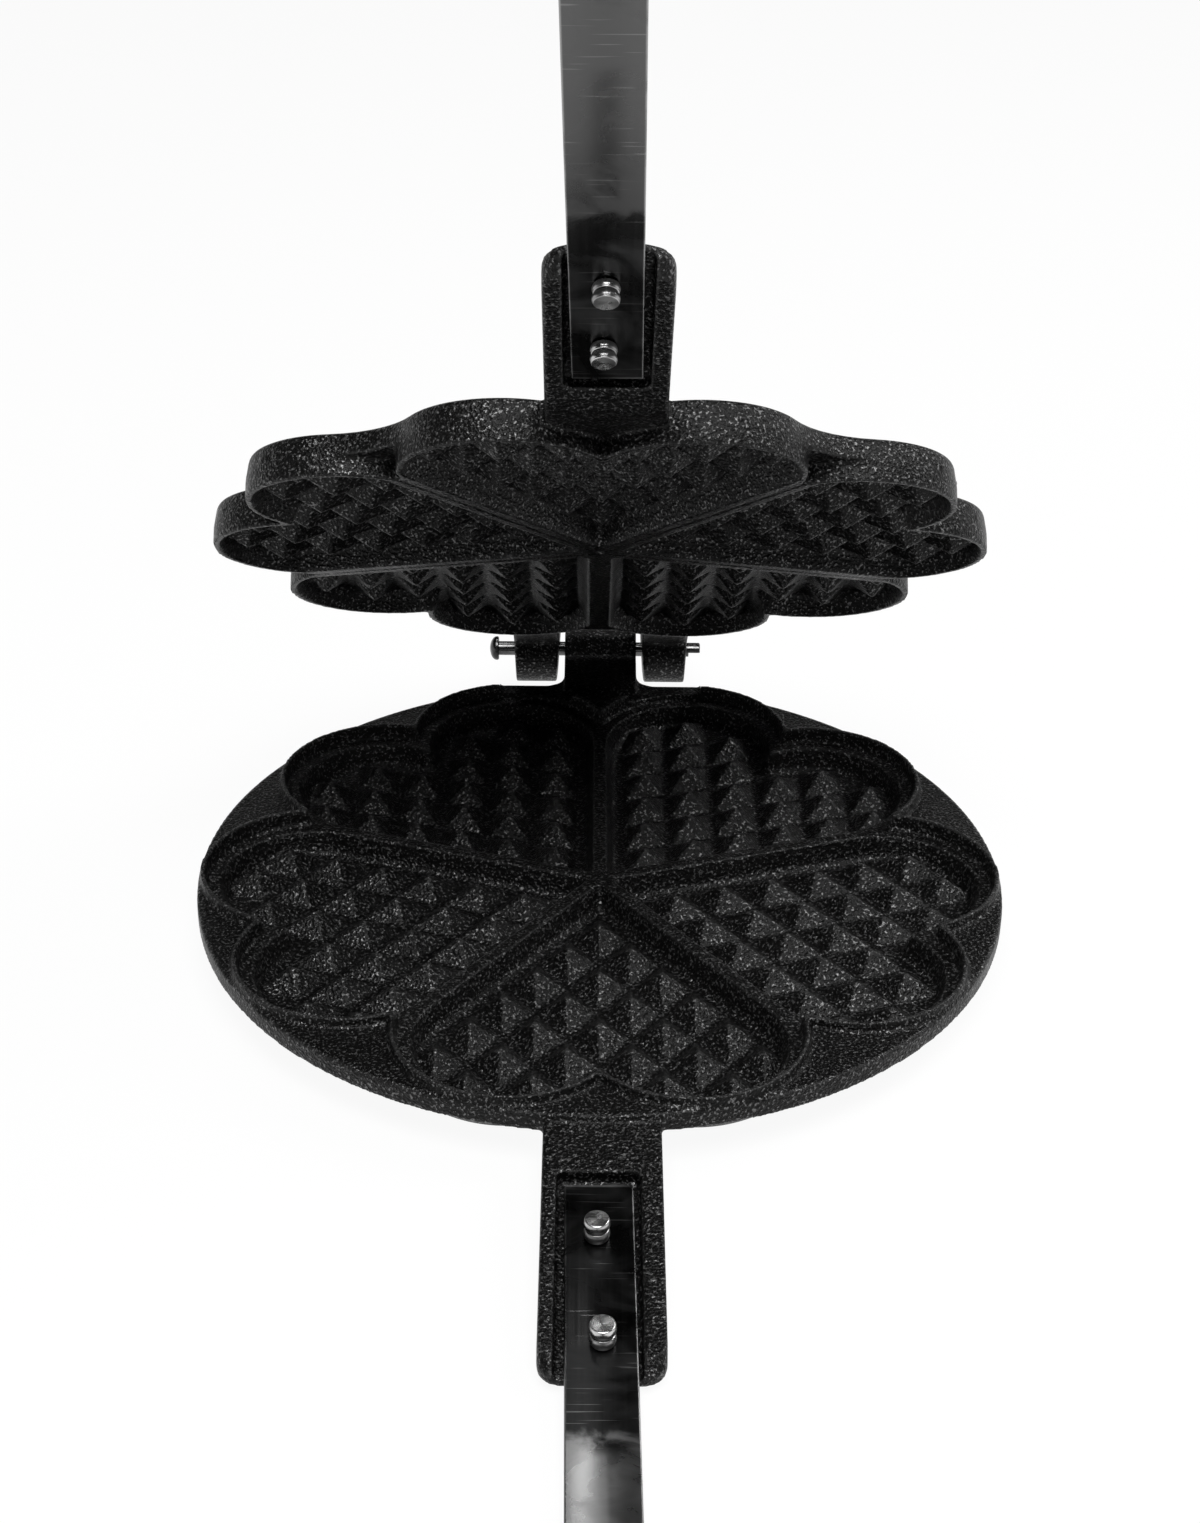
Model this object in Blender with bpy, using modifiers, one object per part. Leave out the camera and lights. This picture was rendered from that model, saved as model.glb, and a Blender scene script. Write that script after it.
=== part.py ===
"""A stovetop waffle iron: two hinged cast iron plates with five heart moulds each, and two riveted strap handles.

The origin is the centre of the flat base that stands on the hob. The handles point towards -Y, the hinge lies
at +Y, and +Z is up. The lid is built closed, about its hinge axis, and its empty then swings it open.
"""

import math
from collections import namedtuple

import bmesh
import bpy
from mathutils import Matrix, Vector

# Bottom plate
HEARTS = 5
DISC_RADIUS = 0.1154
DISC_THICKNESS = 0.0055
DISC_EDGE = 0.0003
DISC_TOP = 0.016
LOBE_OUT = 0.080
LOBE_ASIDE = 0.02375
LIP_LOBE = 0.0314
LIP_FOOT = 0.0004
LIP_WALL = 0.0013
LIP_HEIGHT = 0.0026
LIP_FILLET = 0.0012
LIP_DRAFT = 0.0006
SHELF_DROP = 0.0022
BELLY_LOBE = 0.0310
BELLY_KNEE_DROP = 0.0082
BELLY_KNEE_INSET = 0.0019
BELLY_DROP = 0.0125
BELLY_INSET = 0.0075
BELLY_CLEFT_FILLET = 0.006
BELLY_NOTCH_FILLET = 0.010
PAD_RADIUS = 0.092
PAD_EDGE = 0.0008

# Heart moulds and their pyramids, alike in both plates
DIVIDER_WIDTH = 0.0038
MOULD_DEPTH = 0.0069
MOULD_DRAFT = 0.0017
MOULD_FOOT_HEIGHT = 0.0014
MOULD_FOOT = 0.0013
MOULD_CLEFT_FILLET = 0.0012
MOULD_TIP_FILLET = 0.0015
PYRAMID_PITCH = 0.01465
PYRAMID_GROOVE = 0.0015
PYRAMID_HEIGHT = 0.0054
PYRAMID_FIRST = 0.0228
PYRAMID_SINK_SHARE = 0.05

# Lid
LID_LOBE_OUT = 0.0776
LID_LOBE_ASIDE = 0.0244
LID_LOBE = 0.0276
LID_SHIFT_BACK = 0.0004
LID_SHIFT_ASIDE = -0.0008
LID_SEAT_GAP = 0.0003
LID_RIM_WALL = 0.0017
LID_SIDE_WALL = 0.0029
LID_RIM_GROOVE = 0.0010
LID_RIM_DEPTH = 0.0051
LID_DEPTH = 0.0118
LID_SHELL_DRAFT = 0.0006
LID_SHELL_ROUND = 0.0022
LID_CLEFT_FILLET = 0.008
LID_NOTCH_FILLET = 0.030
LID_CLEFT_SHARP = 0.0006
LID_TIP_FILLET = 0.0003
LID_OPEN_ANGLE = math.radians(39.7)

# Hinge
HINGE_BACK = 0.1378
HINGE_UP = 0.0012
PIN_RADIUS = 0.00235
PIN_CLEARANCE = 0.00009
PIN_HEAD_RADIUS = 0.0040
PIN_HEAD_THICKNESS = 0.0030
PIN_HEAD_GAP = 0.0050
PIN_TAIL = 0.0043
PIN_TAIL_CUT_LENGTH = 0.0038
KNUCKLE_WIDTH = 0.0237
KNUCKLE_RADIUS = 0.0070
KNUCKLE_FLARE = 0.0070
KNUCKLE_ROOT = 0.0300
KNUCKLE_RISE = 0.0012
KNUCKLE_SINK = 0.0002
HINGE_LEDGE_WIDTH = 0.066
HINGE_LEDGE_BACK = 0.1143
HINGE_LEDGE_DROP = 0.0003
LIP_GAP_DEPTH = 0.0115
EAR_GAP = 0.00165
EAR_WIDTH = 0.0156
EAR_RADIUS = 0.0100
EAR_DROP = 0.0010
EAR_DRAFT_SHARE = 0.06
ARM_CLEARANCE = 0.0010
ARM_ROOT = 0.0400
WEB_CLEARANCE = 0.0035
WEB_REACH = 0.0050
WEB_OVERLAP = 0.0010
WEB_FLOOR = 0.0002
WEB_DROP = 0.0002

# Handles
LUG_WIDTH = 0.0297
LUG_HEIGHT = 0.0090
LUG_TIP_HEIGHT = 0.0056
LUG_START = 0.1150
LUG_ROOT = 0.0180
LUG_TIP_SLOPE = 0.0035
LUG_TIP_DROP = 0.0030
LOWER_LUG_LENGTH = 0.0817
LOWER_LUG_TIP_FILLET = 0.0055
LOWER_LUG_DROP = 0.0018
LOWER_LUG_TILT = math.radians(4.5)
LOWER_LUG_ASIDE = 0.0007
LOWER_CHANNEL_START = 0.0180
LOWER_CHANNEL_ASIDE = -0.0009
LOWER_RIVET_INNER = 0.0400
LOWER_RIVET_SPACING = 0.0331
LOWER_RIVET_INNER_ASIDE = -0.0013
LOWER_RIVET_OUTER_ASIDE = 0.0001
UPPER_LUG_START = 0.1130
UPPER_LUG_LENGTH = 0.0633
UPPER_LUG_TIP_FILLET = 0.0085
UPPER_LUG_RISE = 0.0049
UPPER_LUG_ROOT_HEIGHT = 0.0065
UPPER_LUG_TILT = math.radians(12.0)
UPPER_CHANNEL_START = 0.0106
UPPER_RIVET_INNER = 0.0295
UPPER_RIVET_SPACING = 0.0253
UPPER_RIVET_INNER_ASIDE = 0.0009
UPPER_RIVET_OUTER_ASIDE = 0.0006
CHANNEL_WIDTH = 0.0206
CHANNEL_DEPTH = 0.0038
CHANNEL_CORNER = 0.0020
STRAP_WIDTH = 0.0168
STRAP_THICKNESS = 0.0030
STRAP_EDGE = 0.0003
LOWER_STRAP_END_GAP = 0.0043
UPPER_STRAP_END_GAP = 0.0040
STRAP_LENGTH = 0.1800
LOWER_BEND_START = 0.0950
LOWER_BEND_LENGTH = 0.0450
LOWER_BEND = math.radians(-5.5)
UPPER_BEND_START = 0.0633
UPPER_BEND_LENGTH = 0.0700
UPPER_BEND = math.radians(4.0)
UPPER_STRAP_SKEW = math.radians(0.9)
UPPER_STRAP_ASIDE = -0.0003
LOWER_STRAP_SKEW = math.radians(0.7)
LOWER_STRAP_ASIDE = -0.0011
RIVET_RADIUS = 0.0020
RIVET_CLEARANCE = 0.0003
RIVET_HEAD_RADIUS = 0.0042
RIVET_HEAD_HEIGHT = 0.0016
TAIL_RADIUS = 0.0032
TAIL_EDGE = 0.0003
LOWER_BARREL_HEIGHT = 0.0028
UPPER_BARREL_HEIGHT = 0.0022
SEAT_GAP = 0.0003

# Every cut runs this far past the faces that it opens
OVERRUN = 0.006

# Points nearer than this are one point
WELD = 0.00001

LOBE_STEPS = 9
FILLET_STEPS = 3
NOTCH_STEPS = 3
LUG_TIP_STEPS = 4
BEND_STEPS = 6
RIVET_STEPS = 20
ROUND_STEPS = 32
DISC_STEPS = 96

HALF_HEART = math.pi / HEARTS
FRONT = -math.pi / 2

# Where the middles of a heart's two lobes lie: out along the heart's axis, and aside from it
Lobes = namedtuple("Lobes", "out aside")
LOWER_LOBES = Lobes(LOBE_OUT, LOBE_ASIDE)
UPPER_LOBES = Lobes(LID_LOBE_OUT, LID_LOBE_ASIDE)

# A rivet's place: aside from the middle of its lug, and out along it
Place = namedtuple("Place", "aside out")
LOWER_RIVETS = [
    Place(LOWER_RIVET_INNER_ASIDE, LOWER_RIVET_INNER),
    Place(LOWER_RIVET_OUTER_ASIDE, LOWER_RIVET_INNER + LOWER_RIVET_SPACING),
]
UPPER_RIVETS = [
    Place(UPPER_RIVET_INNER_ASIDE, UPPER_RIVET_INNER),
    Place(UPPER_RIVET_OUTER_ASIDE, UPPER_RIVET_INNER + UPPER_RIVET_SPACING),
]

# A handle lug: its length, tilt and height where it joins the plate, the round of its corners, the place of its
# channel, its rivets, and how high each of their tails and collars is
Lug = namedtuple("Lug", "length tilt root_height tip_fillet channel rivets barrel_height")
LOWER_LUG = Lug(
    LOWER_LUG_LENGTH,
    LOWER_LUG_TILT,
    LUG_HEIGHT,
    LOWER_LUG_TIP_FILLET,
    Place(LOWER_CHANNEL_ASIDE, LOWER_CHANNEL_START),
    LOWER_RIVETS,
    LOWER_BARREL_HEIGHT,
)
UPPER_LUG = Lug(
    UPPER_LUG_LENGTH,
    UPPER_LUG_TILT,
    UPPER_LUG_ROOT_HEIGHT,
    UPPER_LUG_TIP_FILLET,
    Place(0.0, UPPER_CHANNEL_START),
    UPPER_RIVETS,
    UPPER_BARREL_HEIGHT,
)

# A strap: its inner end, where its bend starts, how long that is, and its angle away from the other strap
Strap = namedtuple("Strap", "start bend_start bend_length bend")
LOWER_STRAP = Strap(LOWER_CHANNEL_START + LOWER_STRAP_END_GAP, LOWER_BEND_START, LOWER_BEND_LENGTH, LOWER_BEND)
UPPER_STRAP = Strap(UPPER_CHANNEL_START + UPPER_STRAP_END_GAP, UPPER_BEND_START, UPPER_BEND_LENGTH, UPPER_BEND)


def clear_scene():
    """Removes what is in the scene."""
    for obj in list(bpy.data.objects):
        bpy.data.objects.remove(obj, do_unlink=True)


def collection(name, hidden=False):
    """Returns a new collection in the scene."""
    made = bpy.data.collections.new(name)
    bpy.context.scene.collection.children.link(made)
    made.hide_render = hidden
    return made


def principled(name, colour, roughness, metallic):
    """Returns a material with a plain Principled surface."""
    made = bpy.data.materials.new(name)
    made.use_nodes = True
    shader = made.node_tree.nodes["Principled BSDF"]
    shader.inputs["Base Color"].default_value = (*colour, 1)
    shader.inputs["Roughness"].default_value = roughness
    shader.inputs["Metallic"].default_value = metallic
    made.diffuse_color = (*colour, 1)
    return made


def cast_iron():
    """Bare sand-cast iron, nearly black."""
    return principled("cast_iron", (0.035, 0.034, 0.034), 0.48, 0.85)


def strap_steel():
    """Dark satin steel of the straps."""
    return principled("strap_steel", (0.16, 0.16, 0.165), 0.34, 1.0)


def bright_steel():
    """Bright turned steel of the rivets and the pin."""
    return principled("bright_steel", (0.62, 0.62, 0.62), 0.22, 1.0)


def mesh_object(name, mesh, home, material=None, parent=None):
    """Wraps a mesh in an object in the collection home."""
    obj = bpy.data.objects.new(name, mesh)
    home.objects.link(obj)
    obj.parent = parent
    if material is not None:
        mesh.materials.append(material)
    if home.hide_render:
        obj.hide_render = True
        obj.display_type = "WIRE"
    return obj


def from_bmesh(name, shape, home, material=None, parent=None):
    """Turns a bmesh into an object with its faces pointing out."""
    bmesh.ops.recalc_face_normals(shape, faces=shape.faces)
    mesh = bpy.data.meshes.new(name)
    shape.to_mesh(mesh)
    shape.free()
    return mesh_object(name, mesh, home, material, parent)


def add_loft(shape, rings):
    """Skins closed rings of equally many points and caps the first and the last."""
    loops = [[shape.verts.new(point) for point in ring] for ring in rings]
    count = len(loops[0])
    for low, high in zip(loops, loops[1:]):
        for i in range(count):
            j = (i + 1) % count
            shape.faces.new((low[i], low[j], high[j], high[i]))
    shape.faces.new(reversed(loops[0]))
    shape.faces.new(loops[-1])


def loft(name, rings, home, material=None, parent=None):
    """One object skinned over rings."""
    shape = bmesh.new()
    add_loft(shape, rings)
    return from_bmesh(name, shape, home, material, parent)


def cylinder(name, radius, length, axis, centre, home, material=None, parent=None, steps=ROUND_STEPS):
    """A cylinder along X or Z, centred on a point."""
    shape = bmesh.new()
    turn = Matrix.Rotation(math.pi / 2, 4, "Y") if axis == "X" else Matrix.Identity(4)
    place = Matrix.Translation(centre) @ turn
    bmesh.ops.create_cone(
        shape, cap_ends=True, segments=steps, radius1=radius, radius2=radius, depth=length, matrix=place
    )
    return from_bmesh(name, shape, home, material, parent)


def block(name, low, high, home, material=None, parent=None):
    """A box between two corners."""
    shape = bmesh.new()
    bmesh.ops.create_cube(shape, size=1)
    low, high = Vector(low), Vector(high)
    bmesh.ops.scale(shape, vec=high - low, verts=shape.verts)
    bmesh.ops.translate(shape, vec=(low + high) / 2, verts=shape.verts)
    return from_bmesh(name, shape, home, material, parent)


def boolean(obj, operation, tool):
    """Adds a Boolean modifier named after its tool."""
    cut = obj.modifiers.new(tool.name, "BOOLEAN")
    cut.operation = operation
    cut.object = tool
    return cut


def smooth_shading(obj):
    """Shades the round surfaces smooth and keeps real edges."""
    obj.data.shade_smooth()
    obj.data.set_sharp_from_angle(angle=math.radians(30))


def polar(radius, angle):
    """A point in the plane."""
    return Vector((radius * math.cos(angle), radius * math.sin(angle)))


def arc(centre, radius, start, stop, steps):
    """Points of an arc, both ends included."""
    return [centre + polar(radius, start + (stop - start) * i / steps) for i in range(steps + 1)]


def lobe_to_divider(lobes):
    """Distance from a lobe's centre to the line that parts two hearts."""
    return lobes.out * math.sin(HALF_HEART) - lobes.aside * math.cos(HALF_HEART)


def lobe_along_divider(lobes):
    """How far out a lobe's centre lies, measured along that line."""
    return lobes.out * math.cos(HALF_HEART) + lobes.aside * math.sin(HALF_HEART)


def cleft_centre(lobes, radius, fillet):
    """Distance from the middle of the flower to the centre of the fillet in a heart's cleft."""
    return lobes.out + math.sqrt((radius + fillet) ** 2 - lobes.aside**2)


def notch_centre(lobes, radius, fillet):
    """The same for the fillet in the notch between two hearts."""
    return lobe_along_divider(lobes) + math.sqrt((radius + fillet) ** 2 - lobe_to_divider(lobes) ** 2)


def lobe_centres(lobes, axis):
    """Centres of a heart's two lobes, the right-hand one first when seen from the middle."""
    return [polar(lobes.out, axis) + polar(side * lobes.aside, axis + math.pi / 2) for side in (-1, 1)]


def cleft_points(lobes, axis, radius, fillet):
    """The fillet in a heart's cleft, and how far it turns to either side."""
    far = cleft_centre(lobes, radius, fillet)
    lean = math.atan2(lobes.aside, far - lobes.out)
    curve = arc(polar(far, axis), fillet, axis + lean + math.pi, axis - lean + math.pi, FILLET_STEPS)
    return curve[1:-1], lean


def flower(lobes, radius, cleft_fillet, notch_fillet):
    """Outline of the whole flower: ten lobes, with fillets in the clefts and in the notches."""
    points = []
    far = notch_centre(lobes, radius, notch_fillet)
    turn = HALF_HEART + math.atan2(lobe_to_divider(lobes), far - lobe_along_divider(lobes))
    for axis in heart_axes():
        centres = lobe_centres(lobes, axis)
        cleft, lean = cleft_points(lobes, axis, radius, cleft_fillet)
        points += arc(centres[0], radius, axis - turn, axis + lean, LOBE_STEPS)
        points += cleft
        points += arc(centres[1], radius, axis - lean, axis + turn, LOBE_STEPS)
        start = axis + turn - math.pi
        stop = axis + 2 * HALF_HEART - turn - math.pi
        points += arc(polar(far, axis + HALF_HEART), notch_fillet, start, stop, NOTCH_STEPS)[1:-1]
    return points


def heart(lobes, axis, radius, side, cleft_fillet, tip_fillet):
    """Outline of one heart, whose straight sides run along the dividers at the distance side from their middle."""
    centres = lobe_centres(lobes, axis)
    cleft, lean = cleft_points(lobes, axis, radius, cleft_fillet)
    end = HALF_HEART + math.asin(min(1, (lobe_to_divider(lobes) - side) / radius))
    tip = polar((side + tip_fillet) / math.sin(HALF_HEART), axis)
    tip_turn = HALF_HEART + math.pi / 2
    points = arc(centres[0], radius, axis - end, axis + lean, LOBE_STEPS)
    points += cleft
    points += arc(centres[1], radius, axis - lean, axis + end, LOBE_STEPS)
    points += arc(tip, tip_fillet, axis + tip_turn, axis + 2 * math.pi - tip_turn, FILLET_STEPS)
    return points


def at_height(outline, z, middle=(0.0, 0.0)):
    """Lifts a flat outline to a height and moves it to the middle of its plate."""
    return [(point.x + middle[0], point.y + middle[1], z) for point in outline]


def lid_middle():
    """Middle of the lid's flower in the lid's own frame, whose origin is on the hinge axis."""
    return LID_SHIFT_ASIDE, LID_SHIFT_BACK - HINGE_BACK


def heart_axes():
    """Directions of the five hearts."""
    return [FRONT + 2 * HALF_HEART * k for k in range(HEARTS)]


def add_mould(shape, lobes, axis, mouth, wall, mouth_z, down, middle):
    """One heart's hollow. down is -1 for the bottom plate and +1 for the lid."""
    levels = [
        (0.0, mouth_z - down * OVERRUN),
        (0.0, mouth_z),
        (MOULD_DRAFT, mouth_z + down * (MOULD_DEPTH - MOULD_FOOT_HEIGHT)),
        (MOULD_DRAFT + MOULD_FOOT, mouth_z + down * MOULD_DEPTH),
    ]
    rings = []
    for inset, z in levels:
        outline = heart(lobes, axis, mouth - inset, wall + inset, MOULD_CLEFT_FILLET + inset, MOULD_TIP_FILLET)
        rings.append(at_height(outline, z, middle))
    add_loft(shape, rings)


def mould_cutter(name, lobes, mouth, wall, mouth_z, down, home, parent=None, middle=(0.0, 0.0)):
    """The hollows of all five moulds."""
    shape = bmesh.new()
    for axis in heart_axes():
        add_mould(shape, lobes, axis, mouth, wall, mouth_z, down, middle)
    return from_bmesh(name, shape, home, None, parent)


def pyramid_places():
    """Centres of the pyramids whose middle lies inside a mould's floor."""
    places = []
    wall = DIVIDER_WIDTH / 2 + MOULD_DRAFT + MOULD_FOOT
    floor = lobe_to_divider(LOWER_LOBES) - wall
    rows = range(math.ceil((LOBE_OUT + floor) / PYRAMID_PITCH))
    for axis in heart_axes():
        centres = lobe_centres(LOWER_LOBES, axis)
        for m in rows:
            for n in rows:
                steps = polar(m * PYRAMID_PITCH, axis - HALF_HEART) + polar(n * PYRAMID_PITCH, axis + HALF_HEART)
                place = polar(PYRAMID_FIRST, axis) + steps
                out = place.dot(polar(1, axis))
                aside = abs(place.dot(polar(1, axis + math.pi / 2)))
                to_divider = out * math.sin(HALF_HEART) - aside * math.cos(HALF_HEART)
                in_lobe = min((place - centre).length for centre in centres) < floor
                if in_lobe or (out < LOBE_OUT and to_divider > wall):
                    places.append((place, axis))
    return places


def pyramids(name, floor_z, down, home, parent=None, middle=(0.0, 0.0)):
    """All the pyramids of a plate as rhombic cones, sunk a little into the moulds' floors."""
    across = (PYRAMID_PITCH - PYRAMID_GROOVE) * math.sin(HALF_HEART)
    along = (PYRAMID_PITCH - PYRAMID_GROOVE) * math.cos(HALF_HEART)
    grow = 1 + PYRAMID_SINK_SHARE
    height = PYRAMID_HEIGHT * grow
    shape = bmesh.new()
    for place, axis in pyramid_places():
        centre_z = floor_z - down * (PYRAMID_HEIGHT - height / 2)
        flip = Matrix.Rotation(math.pi, 4, "X") if down > 0 else Matrix.Identity(4)
        stretch = Matrix.Diagonal((along * grow, across * grow, height, 1))
        spot = Matrix.Translation((place.x + middle[0], place.y + middle[1], centre_z))
        put = spot @ Matrix.Rotation(axis, 4, "Z") @ flip @ stretch
        bmesh.ops.create_cone(shape, cap_ends=True, segments=4, radius1=1, radius2=0, depth=1, matrix=put)
    bmesh.ops.remove_doubles(shape, verts=shape.verts, dist=WELD)
    return from_bmesh(name, shape, home, None, parent)


def lug_profile(lug, reach):
    """Side view of a handle lug as (out, up) points: level at its root, thinner and sloped at its tip."""
    fall = LUG_ROOT * math.tan(lug.tilt)
    return [
        (-LUG_ROOT, -fall),
        (0.0, 0.0),
        (reach - LUG_TIP_SLOPE, 0.0),
        (reach, -LUG_TIP_DROP),
        (reach, -LUG_TIP_HEIGHT),
        (0.0, -LUG_HEIGHT),
        (-LUG_ROOT, -fall - lug.root_height),
    ]


def lug_frame(side, place, tilt):
    """Frame of a lug: its origin at the root, -Y out along it and +Z out of its channel side.

    side is 1 for the bottom plate, whose channel looks up, and -1 for the lid, whose channel looks down.
    """
    lean = Matrix.Rotation(side * tilt, 4, "X")
    flip = Matrix.Rotation(math.pi, 4, "Y") if side < 0 else Matrix.Identity(4)
    return Matrix.Translation(place) @ lean @ flip


def lower_lug_frame():
    """Frame of the bottom plate's lug."""
    return lug_frame(1, (LOWER_LUG_ASIDE, -LUG_START, DISC_TOP - LOWER_LUG_DROP), LOWER_LUG_TILT)


def upper_lug_frame():
    """Frame of the lid's lug, in the lid's own frame."""
    return lug_frame(-1, (0, -UPPER_LUG_START - HINGE_BACK, lid_rim_z() + UPPER_LUG_RISE), UPPER_LUG_TILT)


def lug_solid(name, lug, home, parent, frame):
    """The solid lug before its channel is cut, with the outer corners of its tip rounded."""
    corner = Vector((LUG_WIDTH / 2 - lug.tip_fillet, lug.length - lug.tip_fillet))
    curve = arc(corner, lug.tip_fillet, 0.0, math.pi / 2, LUG_TIP_STEPS)
    sections = [(-point.x, point.y) for point in curve] + [(point.x, point.y) for point in reversed(curve)]
    rings = [[(x, -out, up) for out, up in lug_profile(lug, reach)] for x, reach in sections]
    made = loft(name, rings, home, None, parent)
    made.matrix_local = frame
    return made


def channel_cutter(name, lug, home, parent, frame):
    """The channel that the strap lies in, with rounded inner corners."""
    half = CHANNEL_WIDTH / 2
    corner = CHANNEL_CORNER
    end = -lug.channel.out
    outline = arc(Vector((half - corner, end - corner)), corner, 0.0, math.pi / 2, FILLET_STEPS)
    outline += arc(Vector((corner - half, end - corner)), corner, math.pi / 2, math.pi, FILLET_STEPS)
    outline += [Vector((-half, -lug.length - OVERRUN)), Vector((half, -lug.length - OVERRUN))]
    rings = [[(p.x + lug.channel.aside, p.y, z) for p in outline] for z in (-CHANNEL_DEPTH, OVERRUN)]
    made = loft(name, rings, home, None, parent)
    made.matrix_local = frame
    return made


def lug_bottom(lug, out):
    """Height of the lug's back face under a point along it."""
    return -LUG_HEIGHT + (LUG_HEIGHT - LUG_TIP_HEIGHT) * out / lug.length


def strap_top():
    """Height of the strap's visible face in its lug's frame."""
    return -CHANNEL_DEPTH + SEAT_GAP + STRAP_THICKNESS


def rivet_cutter(name, lug, home, parent, frame):
    """The two holes that the rivets' shanks pass through."""
    shape = bmesh.new()
    hole = RIVET_RADIUS + RIVET_CLEARANCE
    for aside, out in lug.rivets:
        put = Matrix.Translation((aside, -out, -LUG_HEIGHT / 2))
        depth = LUG_HEIGHT + OVERRUN
        bmesh.ops.create_cone(
            shape, cap_ends=True, segments=RIVET_STEPS, radius1=hole, radius2=hole, depth=depth, matrix=put
        )
    made = from_bmesh(name, shape, home, None, parent)
    made.matrix_local = frame
    return made


def cut_lug(plate, label, lug, home, parent, frame):
    """Cuts the channel and the rivet holes into a plate's lug."""
    boolean(plate, "DIFFERENCE", channel_cutter(label + "_channel", lug, home, parent, frame))
    boolean(plate, "DIFFERENCE", rivet_cutter(label + "_rivet_holes", lug, home, parent, frame))


def belly(home):
    """The lobed body under the disc, round the moulds."""
    levels = [
        (0.0, DISC_THICKNESS / 2),
        (0.0, DISC_THICKNESS),
        (BELLY_KNEE_INSET, BELLY_KNEE_DROP),
        (BELLY_INSET, BELLY_DROP),
    ]
    rings = []
    for inset, drop in levels:
        outline = flower(LOWER_LOBES, BELLY_LOBE - inset, BELLY_CLEFT_FILLET, BELLY_NOTCH_FILLET)
        rings.append(at_height(outline, DISC_TOP - drop))
    return loft("lower_belly", rings, home)


def base_pad(home):
    """The round flat pad that stands on the hob."""
    shape = bmesh.new()
    depth = DISC_TOP - BELLY_KNEE_DROP
    put = Matrix.Translation((0, 0, depth / 2))
    bmesh.ops.create_cone(
        shape,
        cap_ends=True,
        segments=DISC_STEPS,
        radius1=PAD_RADIUS,
        radius2=PAD_RADIUS,
        depth=depth,
        matrix=put,
    )
    foot = [edge for edge in shape.edges if edge.verts[0].co.z < depth / 2 and edge.verts[1].co.z < depth / 2]
    bmesh.ops.bevel(shape, geom=foot, offset=PAD_EDGE, segments=1, affect="EDGES")
    return from_bmesh("lower_pad", shape, home)


def lip(home):
    """The raised flower lip on the disc, solid until the recess is cut."""
    levels = [
        (LIP_LOBE + LIP_FOOT, DISC_TOP - DISC_THICKNESS / 2),
        (LIP_LOBE, DISC_TOP + LIP_HEIGHT),
    ]
    rings = [at_height(flower(LOWER_LOBES, lobe, LIP_FILLET, LIP_FILLET), z) for lobe, z in levels]
    return loft("lower_lip", rings, home)


def recess(home):
    """The flower recess inside the lip, down to the shelf that the lid sits on."""
    mouth = LIP_LOBE - LIP_WALL
    levels = [
        (mouth - LIP_DRAFT, DISC_TOP - SHELF_DROP),
        (mouth, DISC_TOP + LIP_HEIGHT),
        (mouth, DISC_TOP + LIP_HEIGHT + OVERRUN),
    ]
    rings = [at_height(flower(LOWER_LOBES, lobe, LIP_FILLET, LIP_FILLET), z) for lobe, z in levels]
    return loft("lower_recess", rings, home)


def lip_gap(home):
    """Cuts the lip and the ledge down level where the lid's hinge arms pass over them."""
    half = HINGE_LEDGE_WIDTH / 2 + KNUCKLE_SINK
    low = (-half, HINGE_LEDGE_BACK - LIP_GAP_DEPTH, DISC_TOP - HINGE_LEDGE_DROP)
    high = (half, HINGE_BACK, DISC_TOP + LIP_HEIGHT + OVERRUN)
    return block("lower_lip_gap", low, high, home)


def hinge_ledge(home):
    """The straight ledge behind the disc and the flared root of the knuckle, which ends just inside it."""
    half = HINGE_LEDGE_WIDTH / 2
    arm = KNUCKLE_WIDTH / 2 - KNUCKLE_SINK
    flare = KNUCKLE_FLARE
    back = HINGE_LEDGE_BACK
    right = arc(Vector((arm + flare, back + flare)), flare, -math.pi / 2, -math.pi, FILLET_STEPS * 2)
    left = [Vector((-p.x, p.y)) for p in reversed(right)]
    corners = [Vector((-half, back - KNUCKLE_ROOT / 2)), Vector((half, back - KNUCKLE_ROOT / 2))]
    outline = corners + [Vector((half, back))] + right + left + [Vector((-half, back))]
    levels = [DISC_TOP - DISC_THICKNESS + HINGE_LEDGE_DROP, DISC_TOP + HINGE_LEDGE_DROP]
    return loft("lower_hinge_ledge", [at_height(outline, z) for z in levels], home)


def knuckle(home):
    """The barrel of the hinge, with the rise that leads up to it."""
    arm = KNUCKLE_WIDTH / 2
    axis_z = DISC_TOP + HINGE_UP
    start = HINGE_BACK - KNUCKLE_ROOT
    centre = Vector((HINGE_BACK, axis_z))
    round_end = arc(centre, KNUCKLE_RADIUS, -math.pi * 2 / 3, math.pi * 2 / 3, ROUND_STEPS // 2)
    front = [
        Vector((HINGE_BACK - KNUCKLE_RADIUS, DISC_TOP + KNUCKLE_RISE * 2)),
        Vector((start + KNUCKLE_RISE * 3, DISC_TOP + KNUCKLE_RISE)),
        Vector((start, DISC_TOP - HINGE_LEDGE_DROP * 2)),
        Vector((start, DISC_TOP - DISC_THICKNESS / 2)),
        Vector((HINGE_LEDGE_BACK, DISC_TOP - DISC_THICKNESS + HINGE_LEDGE_DROP * 2)),
    ]
    rings = [[(x, p.x, p.y) for p in round_end + front] for x in (-arm, arm)]
    return loft("lower_knuckle", rings, home)


def pin_hole(name, home, parent, centre):
    """The hole for the pin, through everything on the axis."""
    length = 2 * (KNUCKLE_WIDTH / 2 + EAR_GAP + EAR_WIDTH + OVERRUN)
    return cylinder(name, PIN_RADIUS + PIN_CLEARANCE, length, "X", centre, home, None, parent)


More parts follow.
